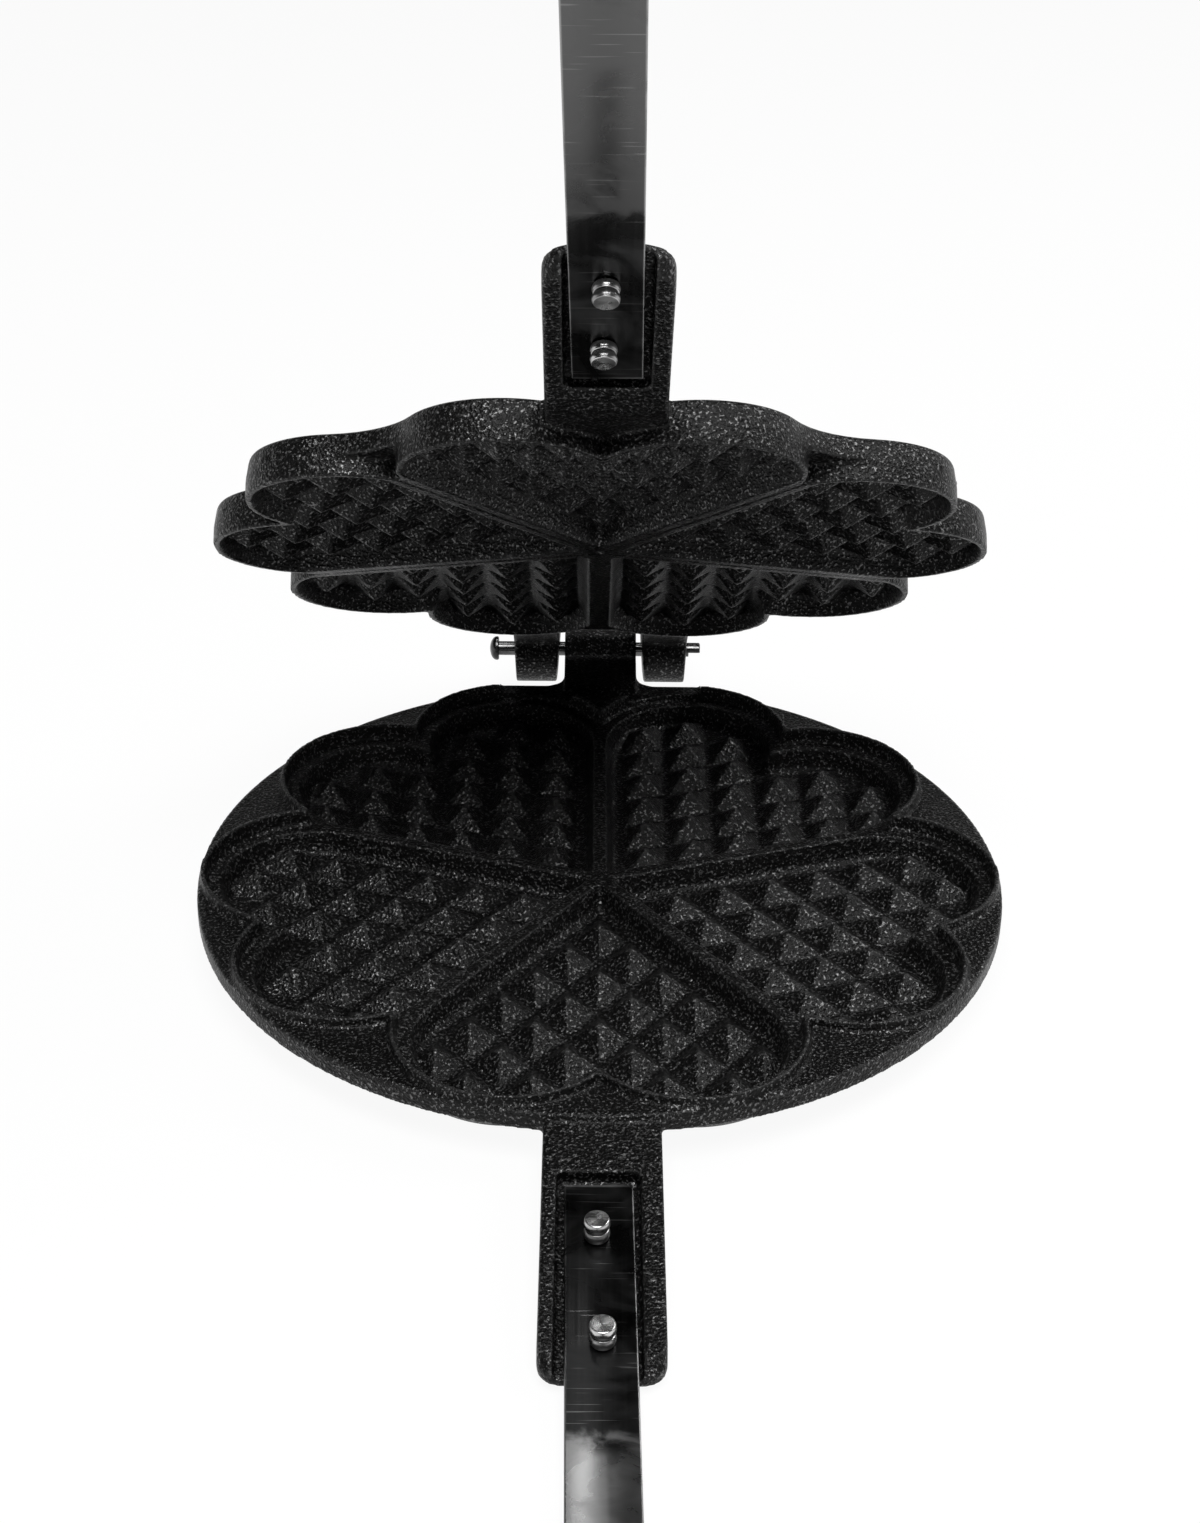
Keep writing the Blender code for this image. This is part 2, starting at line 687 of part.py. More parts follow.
def lower_plate(home, cutters, iron):
    """The bottom casting."""
    centre = (0, 0, DISC_TOP - DISC_THICKNESS / 2)
    plate = cylinder("lower_plate", DISC_RADIUS, DISC_THICKNESS, "Z", centre, home, iron, steps=DISC_STEPS)
    edge = plate.modifiers.new("edge", "BEVEL")
    edge.width = DISC_EDGE
    edge.segments = 1
    edge.limit_method = "ANGLE"
    frame = lower_lug_frame()
    boolean(plate, "UNION", belly(cutters))
    boolean(plate, "UNION", base_pad(cutters))
    boolean(plate, "UNION", lip(cutters))
    boolean(plate, "UNION", hinge_ledge(cutters))
    boolean(plate, "DIFFERENCE", lip_gap(cutters))
    boolean(plate, "UNION", knuckle(cutters))
    boolean(plate, "UNION", lug_solid("lower_lug", LOWER_LUG, cutters, None, frame))
    boolean(plate, "DIFFERENCE", recess(cutters))
    shelf = DISC_TOP - SHELF_DROP
    wall = DIVIDER_WIDTH / 2
    mouth = lobe_to_divider(LOWER_LOBES) - wall
    moulds = mould_cutter("lower_moulds", LOWER_LOBES, mouth, wall, shelf, -1, cutters)
    boolean(plate, "DIFFERENCE", moulds)
    boolean(plate, "UNION", pyramids("lower_pyramids", shelf - MOULD_DEPTH, -1, cutters))
    hinge = (0, HINGE_BACK, DISC_TOP + HINGE_UP)
    boolean(plate, "DIFFERENCE", pin_hole("lower_pin_hole", cutters, None, hinge))
    cut_lug(plate, "lower_lug", LOWER_LUG, cutters, None, frame)
    smooth_shading(plate)
    return plate


def lid_rim_z():
    """Height of the lid's rim over the hinge axis when the lid is closed."""
    return LID_SEAT_GAP - SHELF_DROP - HINGE_UP


def lid_shell(home, parent, iron):
    """The lid's outer body, above its rims when closed."""
    rim = lid_rim_z()
    top = rim + LID_DEPTH
    levels = [
        (LID_LOBE, rim + LID_RIM_DEPTH),
        (LID_LOBE - LID_SHELL_DRAFT, top - LID_SHELL_ROUND),
        (LID_LOBE - LID_SHELL_DRAFT - LID_SHELL_ROUND / 3, top - LID_SHELL_ROUND / 3),
        (LID_LOBE - LID_SHELL_DRAFT - LID_SHELL_ROUND, top),
    ]
    rings = []
    for lobe, z in levels:
        outline = flower(UPPER_LOBES, lobe, LID_CLEFT_FILLET, LID_NOTCH_FILLET)
        rings.append(at_height(outline, z, lid_middle()))
    return loft("upper_plate", rings, home, iron, parent)


def lid_rims(home, parent):
    """The five heart rims, parted by narrow grooves."""
    rim = lid_rim_z()
    side = LID_RIM_GROOVE / 2
    shape = bmesh.new()
    for axis in heart_axes():
        outline = heart(UPPER_LOBES, axis, LID_LOBE, side, LID_CLEFT_SHARP, LID_TIP_FILLET)
        top = rim + LID_RIM_DEPTH + (LID_DEPTH - LID_RIM_DEPTH) / 2
        inset = heart(UPPER_LOBES, axis, LID_LOBE - LID_SHELL_DRAFT, side, LID_CLEFT_SHARP, LID_TIP_FILLET)
        levels = [(outline, rim), (outline, rim + LID_RIM_DEPTH), (inset, top)]
        add_loft(shape, [at_height(points, z, lid_middle()) for points, z in levels])
    return from_bmesh("upper_rims", shape, home, None, parent)


def arm_top():
    """Height of the hinge arms' upper face over the hinge axis when the lid is closed."""
    return lid_rim_z() + LID_DEPTH - LID_SHELL_ROUND


def ear_profile():
    """Side view of a hinge arm and its ear as (back, up) points about the hinge axis."""
    under = ARM_CLEARANCE - HINGE_UP
    over = arm_top()
    low = Vector((0.0, -EAR_DROP))
    tongue = arc(low, EAR_RADIUS, -math.pi, 0.0, ROUND_STEPS // 2)
    top = arc(Vector((0.0, over - EAR_RADIUS / 2)), EAR_RADIUS, math.pi / 6, math.pi / 3, FILLET_STEPS)
    front = [Vector((-ARM_ROOT, under)), Vector((-EAR_RADIUS - EAR_DROP, under))]
    return front + tongue + top + [Vector((-EAR_RADIUS, over)), Vector((-ARM_ROOT, over))]


def ear(name, side, home, parent):
    """One hinge arm with its ear, whose two walls lean together towards its foot."""
    inner = KNUCKLE_WIDTH / 2 + EAR_GAP
    rings = []
    for x, lean in ((inner, EAR_DRAFT_SHARE), (inner + EAR_WIDTH, -EAR_DRAFT_SHARE)):
        rings.append([(side * (x + lean * (arm_top() - p.y)), p.x, p.y) for p in ear_profile()])
    return loft(name, rings, home, None, parent)


def web(home, parent):
    """The web between the two hinge arms, which closes the notch behind the rear hearts."""
    half = KNUCKLE_WIDTH / 2 + EAR_GAP + WEB_OVERLAP
    low = (-half, -ARM_ROOT - WEB_REACH, lid_rim_z() + MOULD_DEPTH + WEB_FLOOR)
    high = (half, -KNUCKLE_RADIUS - WEB_CLEARANCE, arm_top() - WEB_DROP)
    return block("upper_web", low, high, home, None, parent)


def upper_plate(home, cutters, hinge, iron):
    """The top casting, built closed about the hinge axis."""
    plate = lid_shell(home, hinge, iron)
    rim = lid_rim_z()
    frame = upper_lug_frame()
    middle = lid_middle()
    boolean(plate, "UNION", lid_rims(cutters, hinge))
    boolean(plate, "UNION", ear("upper_ear_right", 1, cutters, hinge))
    boolean(plate, "UNION", ear("upper_ear_left", -1, cutters, hinge))
    boolean(plate, "UNION", web(cutters, hinge))
    boolean(plate, "UNION", lug_solid("upper_lug", UPPER_LUG, cutters, hinge, frame))
    mouth = LID_LOBE - LID_RIM_WALL
    wall = LID_RIM_GROOVE / 2 + LID_SIDE_WALL
    moulds = mould_cutter("upper_moulds", UPPER_LOBES, mouth, wall, rim, 1, cutters, hinge, middle)
    boolean(plate, "DIFFERENCE", moulds)
    boolean(plate, "UNION", pyramids("upper_pyramids", rim + MOULD_DEPTH, 1, cutters, hinge, middle))
    boolean(plate, "DIFFERENCE", pin_hole("upper_pin_hole", cutters, hinge, (0, 0, 0)))
    cut_lug(plate, "upper_lug", UPPER_LUG, cutters, hinge, frame)
    smooth_shading(plate)
    return plate


def strap_path(strap):
    """Centre line of a strap as (out, up, angle): straight, then gently bent, then straight again."""
    out, up = strap.bend_start, strap_top() - STRAP_THICKNESS / 2
    path = [(strap.start, up, 0.0), (out, up, 0.0)]
    step = strap.bend_length / BEND_STEPS
    for i in range(1, BEND_STEPS + 1):
        angle = strap.bend * i / BEND_STEPS
        out += step * math.cos(angle)
        up -= step * math.sin(angle)
        path.append((out, up, angle))
    rest = strap.start + STRAP_LENGTH - strap.bend_start - strap.bend_length
    path.append((out + rest * math.cos(strap.bend), up - rest * math.sin(strap.bend), strap.bend))
    return path


def strap_ring(out, up, angle, half):
    """Section of the strap, a flat bar with its edges taken off."""
    thick = STRAP_THICKNESS / 2
    edge = min(STRAP_EDGE, half / 2)
    section = [
        (half, thick - edge),
        (half - edge, thick),
        (edge - half, thick),
        (-half, thick - edge),
        (-half, edge - thick),
        (edge - half, -thick),
        (half - edge, -thick),
        (half, edge - thick),
    ]
    return [(x, -out + z * math.sin(angle), up + z * math.cos(angle)) for x, z in section]


def handle(name, lug, strap, frame, lie, home, cutters, steel, parent=None):
    """A flat strap handle with a rounded end, drilled for its rivets. lie is how it lies in its lug's frame."""
    path = strap_path(strap)
    half = STRAP_WIDTH / 2
    rings = [strap_ring(out, up, angle, half) for out, up, angle in path]
    out, up, angle = path[-1]
    for i in range(1, LOBE_STEPS):
        turn = math.pi / 2 * i / LOBE_STEPS
        beyond = half * math.sin(turn)
        place = (out + beyond * math.cos(angle), up - beyond * math.sin(angle))
        rings.append(strap_ring(*place, angle, half * math.cos(turn)))
    made = loft(name, rings, home, steel, parent)
    made.matrix_local = frame @ lie
    boolean(made, "DIFFERENCE", rivet_cutter(name + "_rivet_holes", lug, cutters, parent, frame))
    return made


def turned(name, profile, steps, home, material, parent):
    """A solid turned about Z from its half section, drawn from top to bottom."""
    mesh = bpy.data.meshes.new(name)
    points = [(radius, 0, up) for radius, up in profile]
    edges = [(i, i + 1) for i in range(len(points) - 1)]
    mesh.from_pydata(points, edges, [])
    made = mesh_object(name, mesh, home, material, parent)
    screw = made.modifiers.new("turn", "SCREW")
    screw.steps = steps
    screw.render_steps = steps
    screw.use_merge_vertices = True
    screw.merge_threshold = WELD
    return made


def tail_seat(lug):
    """Height of a rivet's tail over the strap, with its collar between them."""
    return strap_top() + SEAT_GAP + lug.barrel_height + SEAT_GAP


def rivet_profile(lug, out):
    """Half section of a rivet as (radius, up): flat tail, shank, and a low dome head behind the lug."""
    head = lug_bottom(lug, out) - SEAT_GAP
    seat = tail_seat(lug)
    end = seat + lug.barrel_height
    edge = TAIL_EDGE
    return [
        (0.0, end),
        (TAIL_RADIUS - edge, end),
        (TAIL_RADIUS, end - edge),
        (TAIL_RADIUS, seat + edge),
        (TAIL_RADIUS - edge, seat),
        (RIVET_RADIUS, seat),
        (RIVET_RADIUS, head),
        (RIVET_HEAD_RADIUS, head),
        (RIVET_HEAD_RADIUS * math.cos(math.pi / 6), head - RIVET_HEAD_HEIGHT / 2),
        (RIVET_HEAD_RADIUS / 2, head - RIVET_HEAD_HEIGHT * math.cos(math.pi / 6)),
        (0.0, head - RIVET_HEAD_HEIGHT),
    ]


def rivet(name, lug, place, frame, home, steel, parent=None):
    """One rivet through a strap and its lug."""
    aside, out = place
    made = turned(name, rivet_profile(lug, out), RIVET_STEPS, home, steel, parent)
    made.matrix_local = frame @ Matrix.Translation((aside, -out, 0))
    return made


def collar(name, lug, place, frame, home, steel, parent=None):
    """The ring between a strap and its rivet's tail."""
    aside, out = place
    low = strap_top() + SEAT_GAP
    high = low + lug.barrel_height
    edge = TAIL_EDGE
    bore = RIVET_RADIUS + RIVET_CLEARANCE
    profile = [
        (bore, high),
        (TAIL_RADIUS - edge, high),
        (TAIL_RADIUS, high - edge),
        (TAIL_RADIUS, low + edge),
        (TAIL_RADIUS - edge, low),
        (bore, low),
        (bore, high),
    ]
    made = turned(name, profile, RIVET_STEPS, home, steel, parent)
    weld = made.modifiers.new("weld", "WELD")
    weld.merge_threshold = WELD
    made.matrix_local = frame @ Matrix.Translation((aside, -out, 0))
    return made


def hinge_pin(home, cutters, steel):
    """The pin, with a mushroom head on the left and a cropped tail on the right."""
    ears = KNUCKLE_WIDTH / 2 + EAR_GAP + EAR_WIDTH
    head = -ears - PIN_HEAD_GAP
    tail = ears + PIN_TAIL
    crown = PIN_HEAD_THICKNESS
    profile = [
        (0.0, tail),
        (PIN_RADIUS, tail),
        (PIN_RADIUS, head),
        (PIN_HEAD_RADIUS, head),
        (PIN_HEAD_RADIUS, head - crown / 4),
        (PIN_HEAD_RADIUS * math.cos(math.pi / 6), head - crown * 3 / 5),
        (PIN_HEAD_RADIUS / 2, head - crown * math.cos(math.pi / 6)),
        (0.0, head - crown),
    ]
    pin = turned("hinge_pin", profile, ROUND_STEPS, home, steel, None)
    pin.matrix_local = Matrix.Translation((0, HINGE_BACK, DISC_TOP + HINGE_UP)) @ Matrix.Rotation(
        math.pi / 2, 4, "Y"
    )
    low = (tail - PIN_TAIL_CUT_LENGTH, HINGE_BACK - OVERRUN, DISC_TOP + HINGE_UP - OVERRUN)
    high = (tail + OVERRUN, HINGE_BACK + OVERRUN, DISC_TOP + HINGE_UP)
    boolean(pin, "DIFFERENCE", block("pin_crop", low, high, cutters))
    return pin


def build():
    """Models the whole iron with its lid open."""
    clear_scene()
    home = collection("stovetop_waffle_iron")
    cutters = collection("cutters", hidden=True)
    iron, dark_steel, steel = cast_iron(), strap_steel(), bright_steel()
    hinge = bpy.data.objects.new("lid_hinge", None)
    home.objects.link(hinge)
    hinge.location = (0, HINGE_BACK, DISC_TOP + HINGE_UP)
    hinge.rotation_euler = (-LID_OPEN_ANGLE, 0, 0)
    lower_plate(home, cutters, iron)
    upper_plate(home, cutters, hinge, iron)
    hinge_pin(home, cutters, steel)
    low_frame = lower_lug_frame()
    high_frame = upper_lug_frame()
    low_lie = Matrix.Translation((LOWER_STRAP_ASIDE, 0, 0)) @ Matrix.Rotation(LOWER_STRAP_SKEW, 4, "Z")
    high_lie = Matrix.Translation((UPPER_STRAP_ASIDE, 0, 0)) @ Matrix.Rotation(UPPER_STRAP_SKEW, 4, "Z")
    handle("lower_handle", LOWER_LUG, LOWER_STRAP, low_frame, low_lie, home, cutters, dark_steel)
    handle("upper_handle", UPPER_LUG, UPPER_STRAP, high_frame, high_lie, home, cutters, dark_steel, hinge)
    sides = [("lower_", LOWER_LUG, low_frame, None), ("upper_", UPPER_LUG, high_frame, hinge)]
    for side, lug, frame, parent in sides:
        for label, place in zip(("inner", "outer"), lug.rivets):
            rivet(side + "rivet_" + label, lug, place, frame, home, steel, parent)
            collar(side + "rivet_collar_" + label, lug, place, frame, home, steel, parent)


build()
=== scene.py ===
"""Looks of the stovetop waffle iron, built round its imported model.

The two castings, the straps, the rivets and the pin are worked out again here with finer and rounder surfaces than
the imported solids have, from the same sizes, and each takes the place of its solid.
"""

import logging
import math
from dataclasses import dataclass, field
from enum import Enum
from typing import Any, Sequence

import bmesh
import bpy
import numpy as np
from mathutils import Matrix


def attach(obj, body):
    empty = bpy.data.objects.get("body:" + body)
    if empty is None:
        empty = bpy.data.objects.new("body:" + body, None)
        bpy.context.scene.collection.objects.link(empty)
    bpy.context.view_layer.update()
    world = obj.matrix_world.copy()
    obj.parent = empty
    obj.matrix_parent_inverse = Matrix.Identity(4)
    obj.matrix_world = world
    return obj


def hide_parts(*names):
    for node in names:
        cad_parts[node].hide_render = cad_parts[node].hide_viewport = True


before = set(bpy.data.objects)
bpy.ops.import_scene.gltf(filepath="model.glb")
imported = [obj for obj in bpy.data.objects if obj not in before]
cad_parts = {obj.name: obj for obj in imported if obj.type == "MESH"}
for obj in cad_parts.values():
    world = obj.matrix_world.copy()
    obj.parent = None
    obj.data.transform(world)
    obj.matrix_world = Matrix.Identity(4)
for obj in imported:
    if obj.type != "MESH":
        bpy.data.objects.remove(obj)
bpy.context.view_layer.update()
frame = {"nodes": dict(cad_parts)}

log = logging.getLogger("waffle_iron")

Points = np.ndarray
Solid = tuple[np.ndarray, list[list[int]]]

HEARTS = 5
HALF_HEART = math.pi / HEARTS
FRONT = -math.pi / 2
OVERRUN = 0.006


class Part(Enum):
    """The two bodies that the hinge joins."""

    BASE = "base_assembly"
    LID = "lid_assembly"


class Slot(Enum):
    """The record's material slots."""

    IRON = "cast_iron"
    STRAP = "strap_steel"
    BRIGHT = "bright_steel"


# Shapes


def arc(centre: Sequence[float], radius: float, start: float, stop: float, steps: int) -> Points:
    """Points of a plane arc: centre + radius (cos a, sin a), with a running evenly from start to stop.

    Args:
        centre: Middle of the arc.
        radius: Its radius.
        start: First angle.
        stop: Last angle.
        steps: How many chords it has.

    Returns:
        One row of two coordinates for each point.
    """
    angle = np.linspace(start, stop, steps + 1)
    return np.asarray(centre) + radius * np.column_stack((np.cos(angle), np.sin(angle)))


def polar(radius: float, angle: float) -> Points:
    """The plane point radius (cos angle, sin angle)."""
    return radius * np.array((math.cos(angle), math.sin(angle)))


def lift(outline: Points, z: float, middle: Sequence[float] = (0.0, 0.0)) -> Points:
    """A plane outline moved to middle and lifted to height z, as rows of three coordinates."""
    return np.column_stack((outline + np.asarray(middle), np.full(len(outline), z)))


def skin(rings: Sequence[Points]) -> Solid:
    """A closed solid skinned over rings: point (i, j) is ring i's point j, quads join neighbours, ends are capped.

    Args:
        rings: Closed rings of equally many points.

    Returns:
        The points and the faces.
    """
    grid = np.asarray(rings, float)
    levels, count, _ = grid.shape
    low = np.arange((levels - 1) * count).reshape(levels - 1, count)
    turn = np.roll(low, -1, axis=1)
    quads = np.stack((low, turn, turn + count, low + count), axis=-1).reshape(-1, 4).tolist()
    last = (levels - 1) * count
    caps = [list(range(count - 1, -1, -1)), list(range(last, last + count))]
    return grid.reshape(-1, 3), quads + caps


def join(solids: Sequence[Solid]) -> Solid:
    """Several solids as one set of points and faces."""
    points, faces, start = [], [], 0
    for corners, sides in solids:
        points.append(corners)
        faces += [[start + i for i in side] for side in sides]
        start += len(corners)
    return np.vstack(points), faces


def moved(solid: Solid, place: Matrix) -> Solid:
    """A solid with each point p taken to place p."""
    matrix = np.array(place, float)
    return solid[0] @ matrix[:3, :3].T + matrix[:3, 3], solid[1]


def box(low: Sequence[float], high: Sequence[float]) -> Solid:
    """A block between two corners."""
    outline = np.array(((low[0], low[1]), (high[0], low[1]), (high[0], high[1]), (low[0], high[1])))
    return skin([lift(outline, low[2]), lift(outline, high[2])])


def round_bar(radius: float, low: float, high: float, steps: int = 128) -> Solid:
    """An upright round bar: radius (cos a, sin a) at two heights."""
    outline = arc((0.0, 0.0), radius, 0.0, 2 * math.pi, steps)[:-1]
    return skin([lift(outline, low), lift(outline, high)])


def turned(profile: Sequence[tuple[float, float]], steps: int) -> Solid:
    """A solid turned about Z: point (i, j) is (r cos a, r sin a, z) of profile point i at angle j.

    Args:
        profile: Radius and height pairs, with no radius of zero.
        steps: Points round each ring.

    Returns:
        The solid, capped by flat faces at both ends of the profile.
    """
    around = arc((0.0, 0.0), 1.0, 0.0, 2 * math.pi, steps)[:-1]
    return skin([lift(around * radius, z) for radius, z in profile])


def turned_ring(profile: Sequence[tuple[float, float]], steps: int) -> Solid:
    """A ring turned about Z from a closed section, by the same formula as turned, with its ends joined."""
    around = arc((0.0, 0.0), 1.0, 0.0, 2 * math.pi, steps)[:-1]
    points = np.vstack([lift(around * radius, z) for radius, z in profile])
    index = np.arange(len(profile) * steps).reshape(len(profile), steps)
    turn = np.roll(index, -1, axis=1)
    ahead = np.roll(index, -1, axis=0)
    faces = np.stack((index, turn, np.roll(turn, -1, axis=0), ahead), axis=-1).reshape(-1, 4).tolist()
    return points, faces


def mesh_of(name: str, solid: Solid) -> bpy.types.Mesh:
    """A mesh of a solid, with its faces pointing out."""
    mesh = bpy.data.meshes.new(name)
    mesh.from_pydata(solid[0].tolist(), [], solid[1])
    shape = bmesh.new()
    shape.from_mesh(mesh)
    bmesh.ops.recalc_face_normals(shape, faces=shape.faces)
    shape.to_mesh(mesh)
    shape.free()
    return mesh


def object_of(name: str, mesh: bpy.types.Mesh) -> bpy.types.Object:
    """An object in the scene round a mesh."""
    made = bpy.data.objects.new(name, mesh)
    bpy.context.scene.collection.objects.link(made)
    return made


def evaluated(obj: bpy.types.Object, name: str) -> bpy.types.Mesh:
    """The mesh that an object has with its modifiers."""
    bpy.context.view_layer.update()
    graph = bpy.context.evaluated_depsgraph_get()
    made = bpy.data.meshes.new_from_object(obj.evaluated_get(graph))
    made.name = name
    return made


@dataclass
class Foundry:
    """Fuses and cuts solids, then softens the result as sand casting does."""

    name: str
    voxel: float = 0.00062
    smoothing: int = 3
    most_triangles: int = 185000
    steps: list[tuple[str, Solid]] = field(default_factory=list)

    def add(self, solid: Solid) -> None:
        """Fuses a solid to the casting."""
        self.steps.append(("UNION", solid))

    def cut(self, solid: Solid) -> None:
        """Cuts a solid out of the casting."""
        self.steps.append(("DIFFERENCE", solid))

    def fused(self, first: Solid) -> bpy.types.Mesh:
        """The casting with its edges still sharp.

        Args:
            first: The solid that the others are fused to and cut from.

        Returns:
            One closed mesh.
        """
        body = object_of(self.name + "_sharp", mesh_of(self.name, first))
        tools = []
        for i, (operation, solid) in enumerate(self.steps):
            tool = object_of(f"{self.name}_tool_{i}", mesh_of(self.name, solid))
            tools.append(tool)
            change = body.modifiers.new(tool.name, "BOOLEAN")
            change.operation = operation
            change.object = tool
        mesh = evaluated(body, self.name + "_sharp")
        for obj in [body, *tools]:
            bpy.data.objects.remove(obj, do_unlink=True)
        return mesh

    def cast(self, first: Solid) -> bpy.types.Mesh:
        """The casting with soft edges, as one even skin that is then thinned out where it is flat.

        Args:
            first: The solid that the others are fused to and cut from.

        Returns:
            The finished mesh.
        """
        rough = object_of(self.name + "_rough", self.fused(first))
        remesh = rough.modifiers.new("skin", "REMESH")
        remesh.mode = "VOXEL"
        remesh.voxel_size = self.voxel * 1.0
        smooth = rough.modifiers.new("soften", "SMOOTH")
        smooth.factor = 0.5
        smooth.iterations = self.smoothing
        mesh = evaluated(rough, self.name)
        bpy.data.objects.remove(rough, do_unlink=True)
        triangles = sum(len(face.vertices) - 2 for face in mesh.polygons)
        if triangles > self.most_triangles:
            dense = object_of(self.name + "_dense", mesh)
            thin = dense.modifiers.new("thin", "DECIMATE")
            thin.ratio = self.most_triangles / triangles
            mesh = evaluated(dense, self.name)
            bpy.data.objects.remove(dense, do_unlink=True)
        mesh.shade_smooth()
        flat = object_of(self.name + "_flat", mesh)
        weigh = flat.modifiers.new("weigh", "WEIGHTED_NORMAL")
        weigh.weight = 80
        mesh = evaluated(flat, self.name)
        bpy.data.objects.remove(flat, do_unlink=True)
        return mesh


def place_piece(
    name: str,
    mesh: bpy.types.Mesh,
    finish: bpy.types.Material,
    part: Part,
    nodes: Sequence[str],
    place: Matrix | None = None,
) -> bpy.types.Object:
    """Puts a finished piece into the scene, on its body and in place of its solids.

    Args:
        name: The piece's name.
        mesh: Its mesh.
        finish: Its material.
        part: The body that it rides on.
        nodes: The solids that it stands for.
        place: Where the mesh goes, if it isn't there already.

    Returns:
        The object, at the origin, unturned and unscaled.
    """
    if place is not None:
        mesh.transform(place)
    mesh.materials.clear()
    mesh.materials.append(finish)
    piece = object_of(name, mesh)
    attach(piece, part.value)
    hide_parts(*nodes)
    log.info("%s: %d faces on %s", name, len(mesh.polygons), part.value)
    return piece


# Hearts and flowers


@dataclass(frozen=True)
class Flower:
    """Five hearts round one middle. out and aside place a heart's two lobes along and aside of its axis."""

    out: float
    aside: float
    middle: tuple[float, float] = (0.0, 0.0)
    lobe_steps: int = 26
    fillet_steps: int = 7

    @property
    def to_divider(self) -> float:
        """Distance from a lobe's centre to the line that parts two hearts."""
        return self.out * math.sin(HALF_HEART) - self.aside * math.cos(HALF_HEART)

    @property
    def along_divider(self) -> float:
        """How far out a lobe's centre lies along that line."""
        return self.out * math.cos(HALF_HEART) + self.aside * math.sin(HALF_HEART)

    def axes(self) -> list[float]:
        """Directions of the five hearts."""
        return [FRONT + 2 * HALF_HEART * k for k in range(HEARTS)]

    def lobes(self, axis: float) -> list[Points]:
        """Centres of a heart's two lobes."""
        return [polar(self.out, axis) + polar(side * self.aside, axis + math.pi / 2) for side in (-1, 1)]

    def cleft(self, axis: float, radius: float, fillet: float) -> tuple[Points, float]:
        """The fillet between a heart's two lobes: an arc that touches both.

        Args:
            axis: The heart's direction.
            radius: The lobes' radius.
            fillet: The fillet's radius.

        Returns:
            Its inner points, and how far it turns to either side.
        """
        far = self.out + math.sqrt((radius + fillet) ** 2 - self.aside**2)
        lean = math.atan2(self.aside, far - self.out)
        start, stop = axis + lean + math.pi, axis - lean + math.pi
        return arc(polar(far, axis), fillet, start, stop, self.fillet_steps)[1:-1], lean

    def outline(self, radius: float, cleft_fillet: float, notch_fillet: float) -> Points:
        """Outline of the whole flower: ten lobe arcs with fillet arcs in the clefts and in the notches.

        Args:
            radius: The lobes' radius.
            cleft_fillet: Radius of the fillets inside the hearts' clefts.
            notch_fillet: Radius of the fillets between neighbouring hearts.

        Returns:
            The closed outline.
        """
        far = self.along_divider + math.sqrt((radius + notch_fillet) ** 2 - self.to_divider**2)
        turn = HALF_HEART + math.atan2(self.to_divider, far - self.along_divider)
        parts = []
        for axis in self.axes():
            right, left = self.lobes(axis)
            cleft, lean = self.cleft(axis, radius, cleft_fillet)
            notch = polar(far, axis + HALF_HEART)
            start, stop = axis + turn - math.pi, axis + 2 * HALF_HEART - turn - math.pi
            parts += [
                arc(right, radius, axis - turn, axis + lean, self.lobe_steps),
                cleft,
                arc(left, radius, axis - lean, axis + turn, self.lobe_steps),
                arc(notch, notch_fillet, start, stop, self.fillet_steps)[1:-1],
            ]
        return np.vstack(parts)

    def heart(self, axis: float, radius: float, side: float, cleft_fillet: float, tip_fillet: float) -> Points:
        """Outline of one heart: two lobe arcs, the cleft between them, and straight sides that meet in a round tip.

        Args:
            axis: The heart's direction.
            radius: The lobes' radius.
            side: Distance of the straight sides from the middle of the dividers.
            cleft_fillet: Radius of the fillet in the cleft.
            tip_fillet: Radius of the tip.

        Returns:
            The closed outline.
        """
        right, left = self.lobes(axis)
        cleft, lean = self.cleft(axis, radius, cleft_fillet)
        end = HALF_HEART + math.asin(min(1.0, (self.to_divider - side) / radius))
        tip = polar((side + tip_fillet) / math.sin(HALF_HEART), axis)
        turn = HALF_HEART + math.pi / 2
        parts = [
            arc(right, radius, axis - end, axis + lean, self.lobe_steps),
            cleft,
            arc(left, radius, axis - lean, axis + end, self.lobe_steps),
            arc(tip, tip_fillet, axis + turn, axis + 2 * math.pi - turn, self.fillet_steps),
        ]
        return np.vstack(parts)


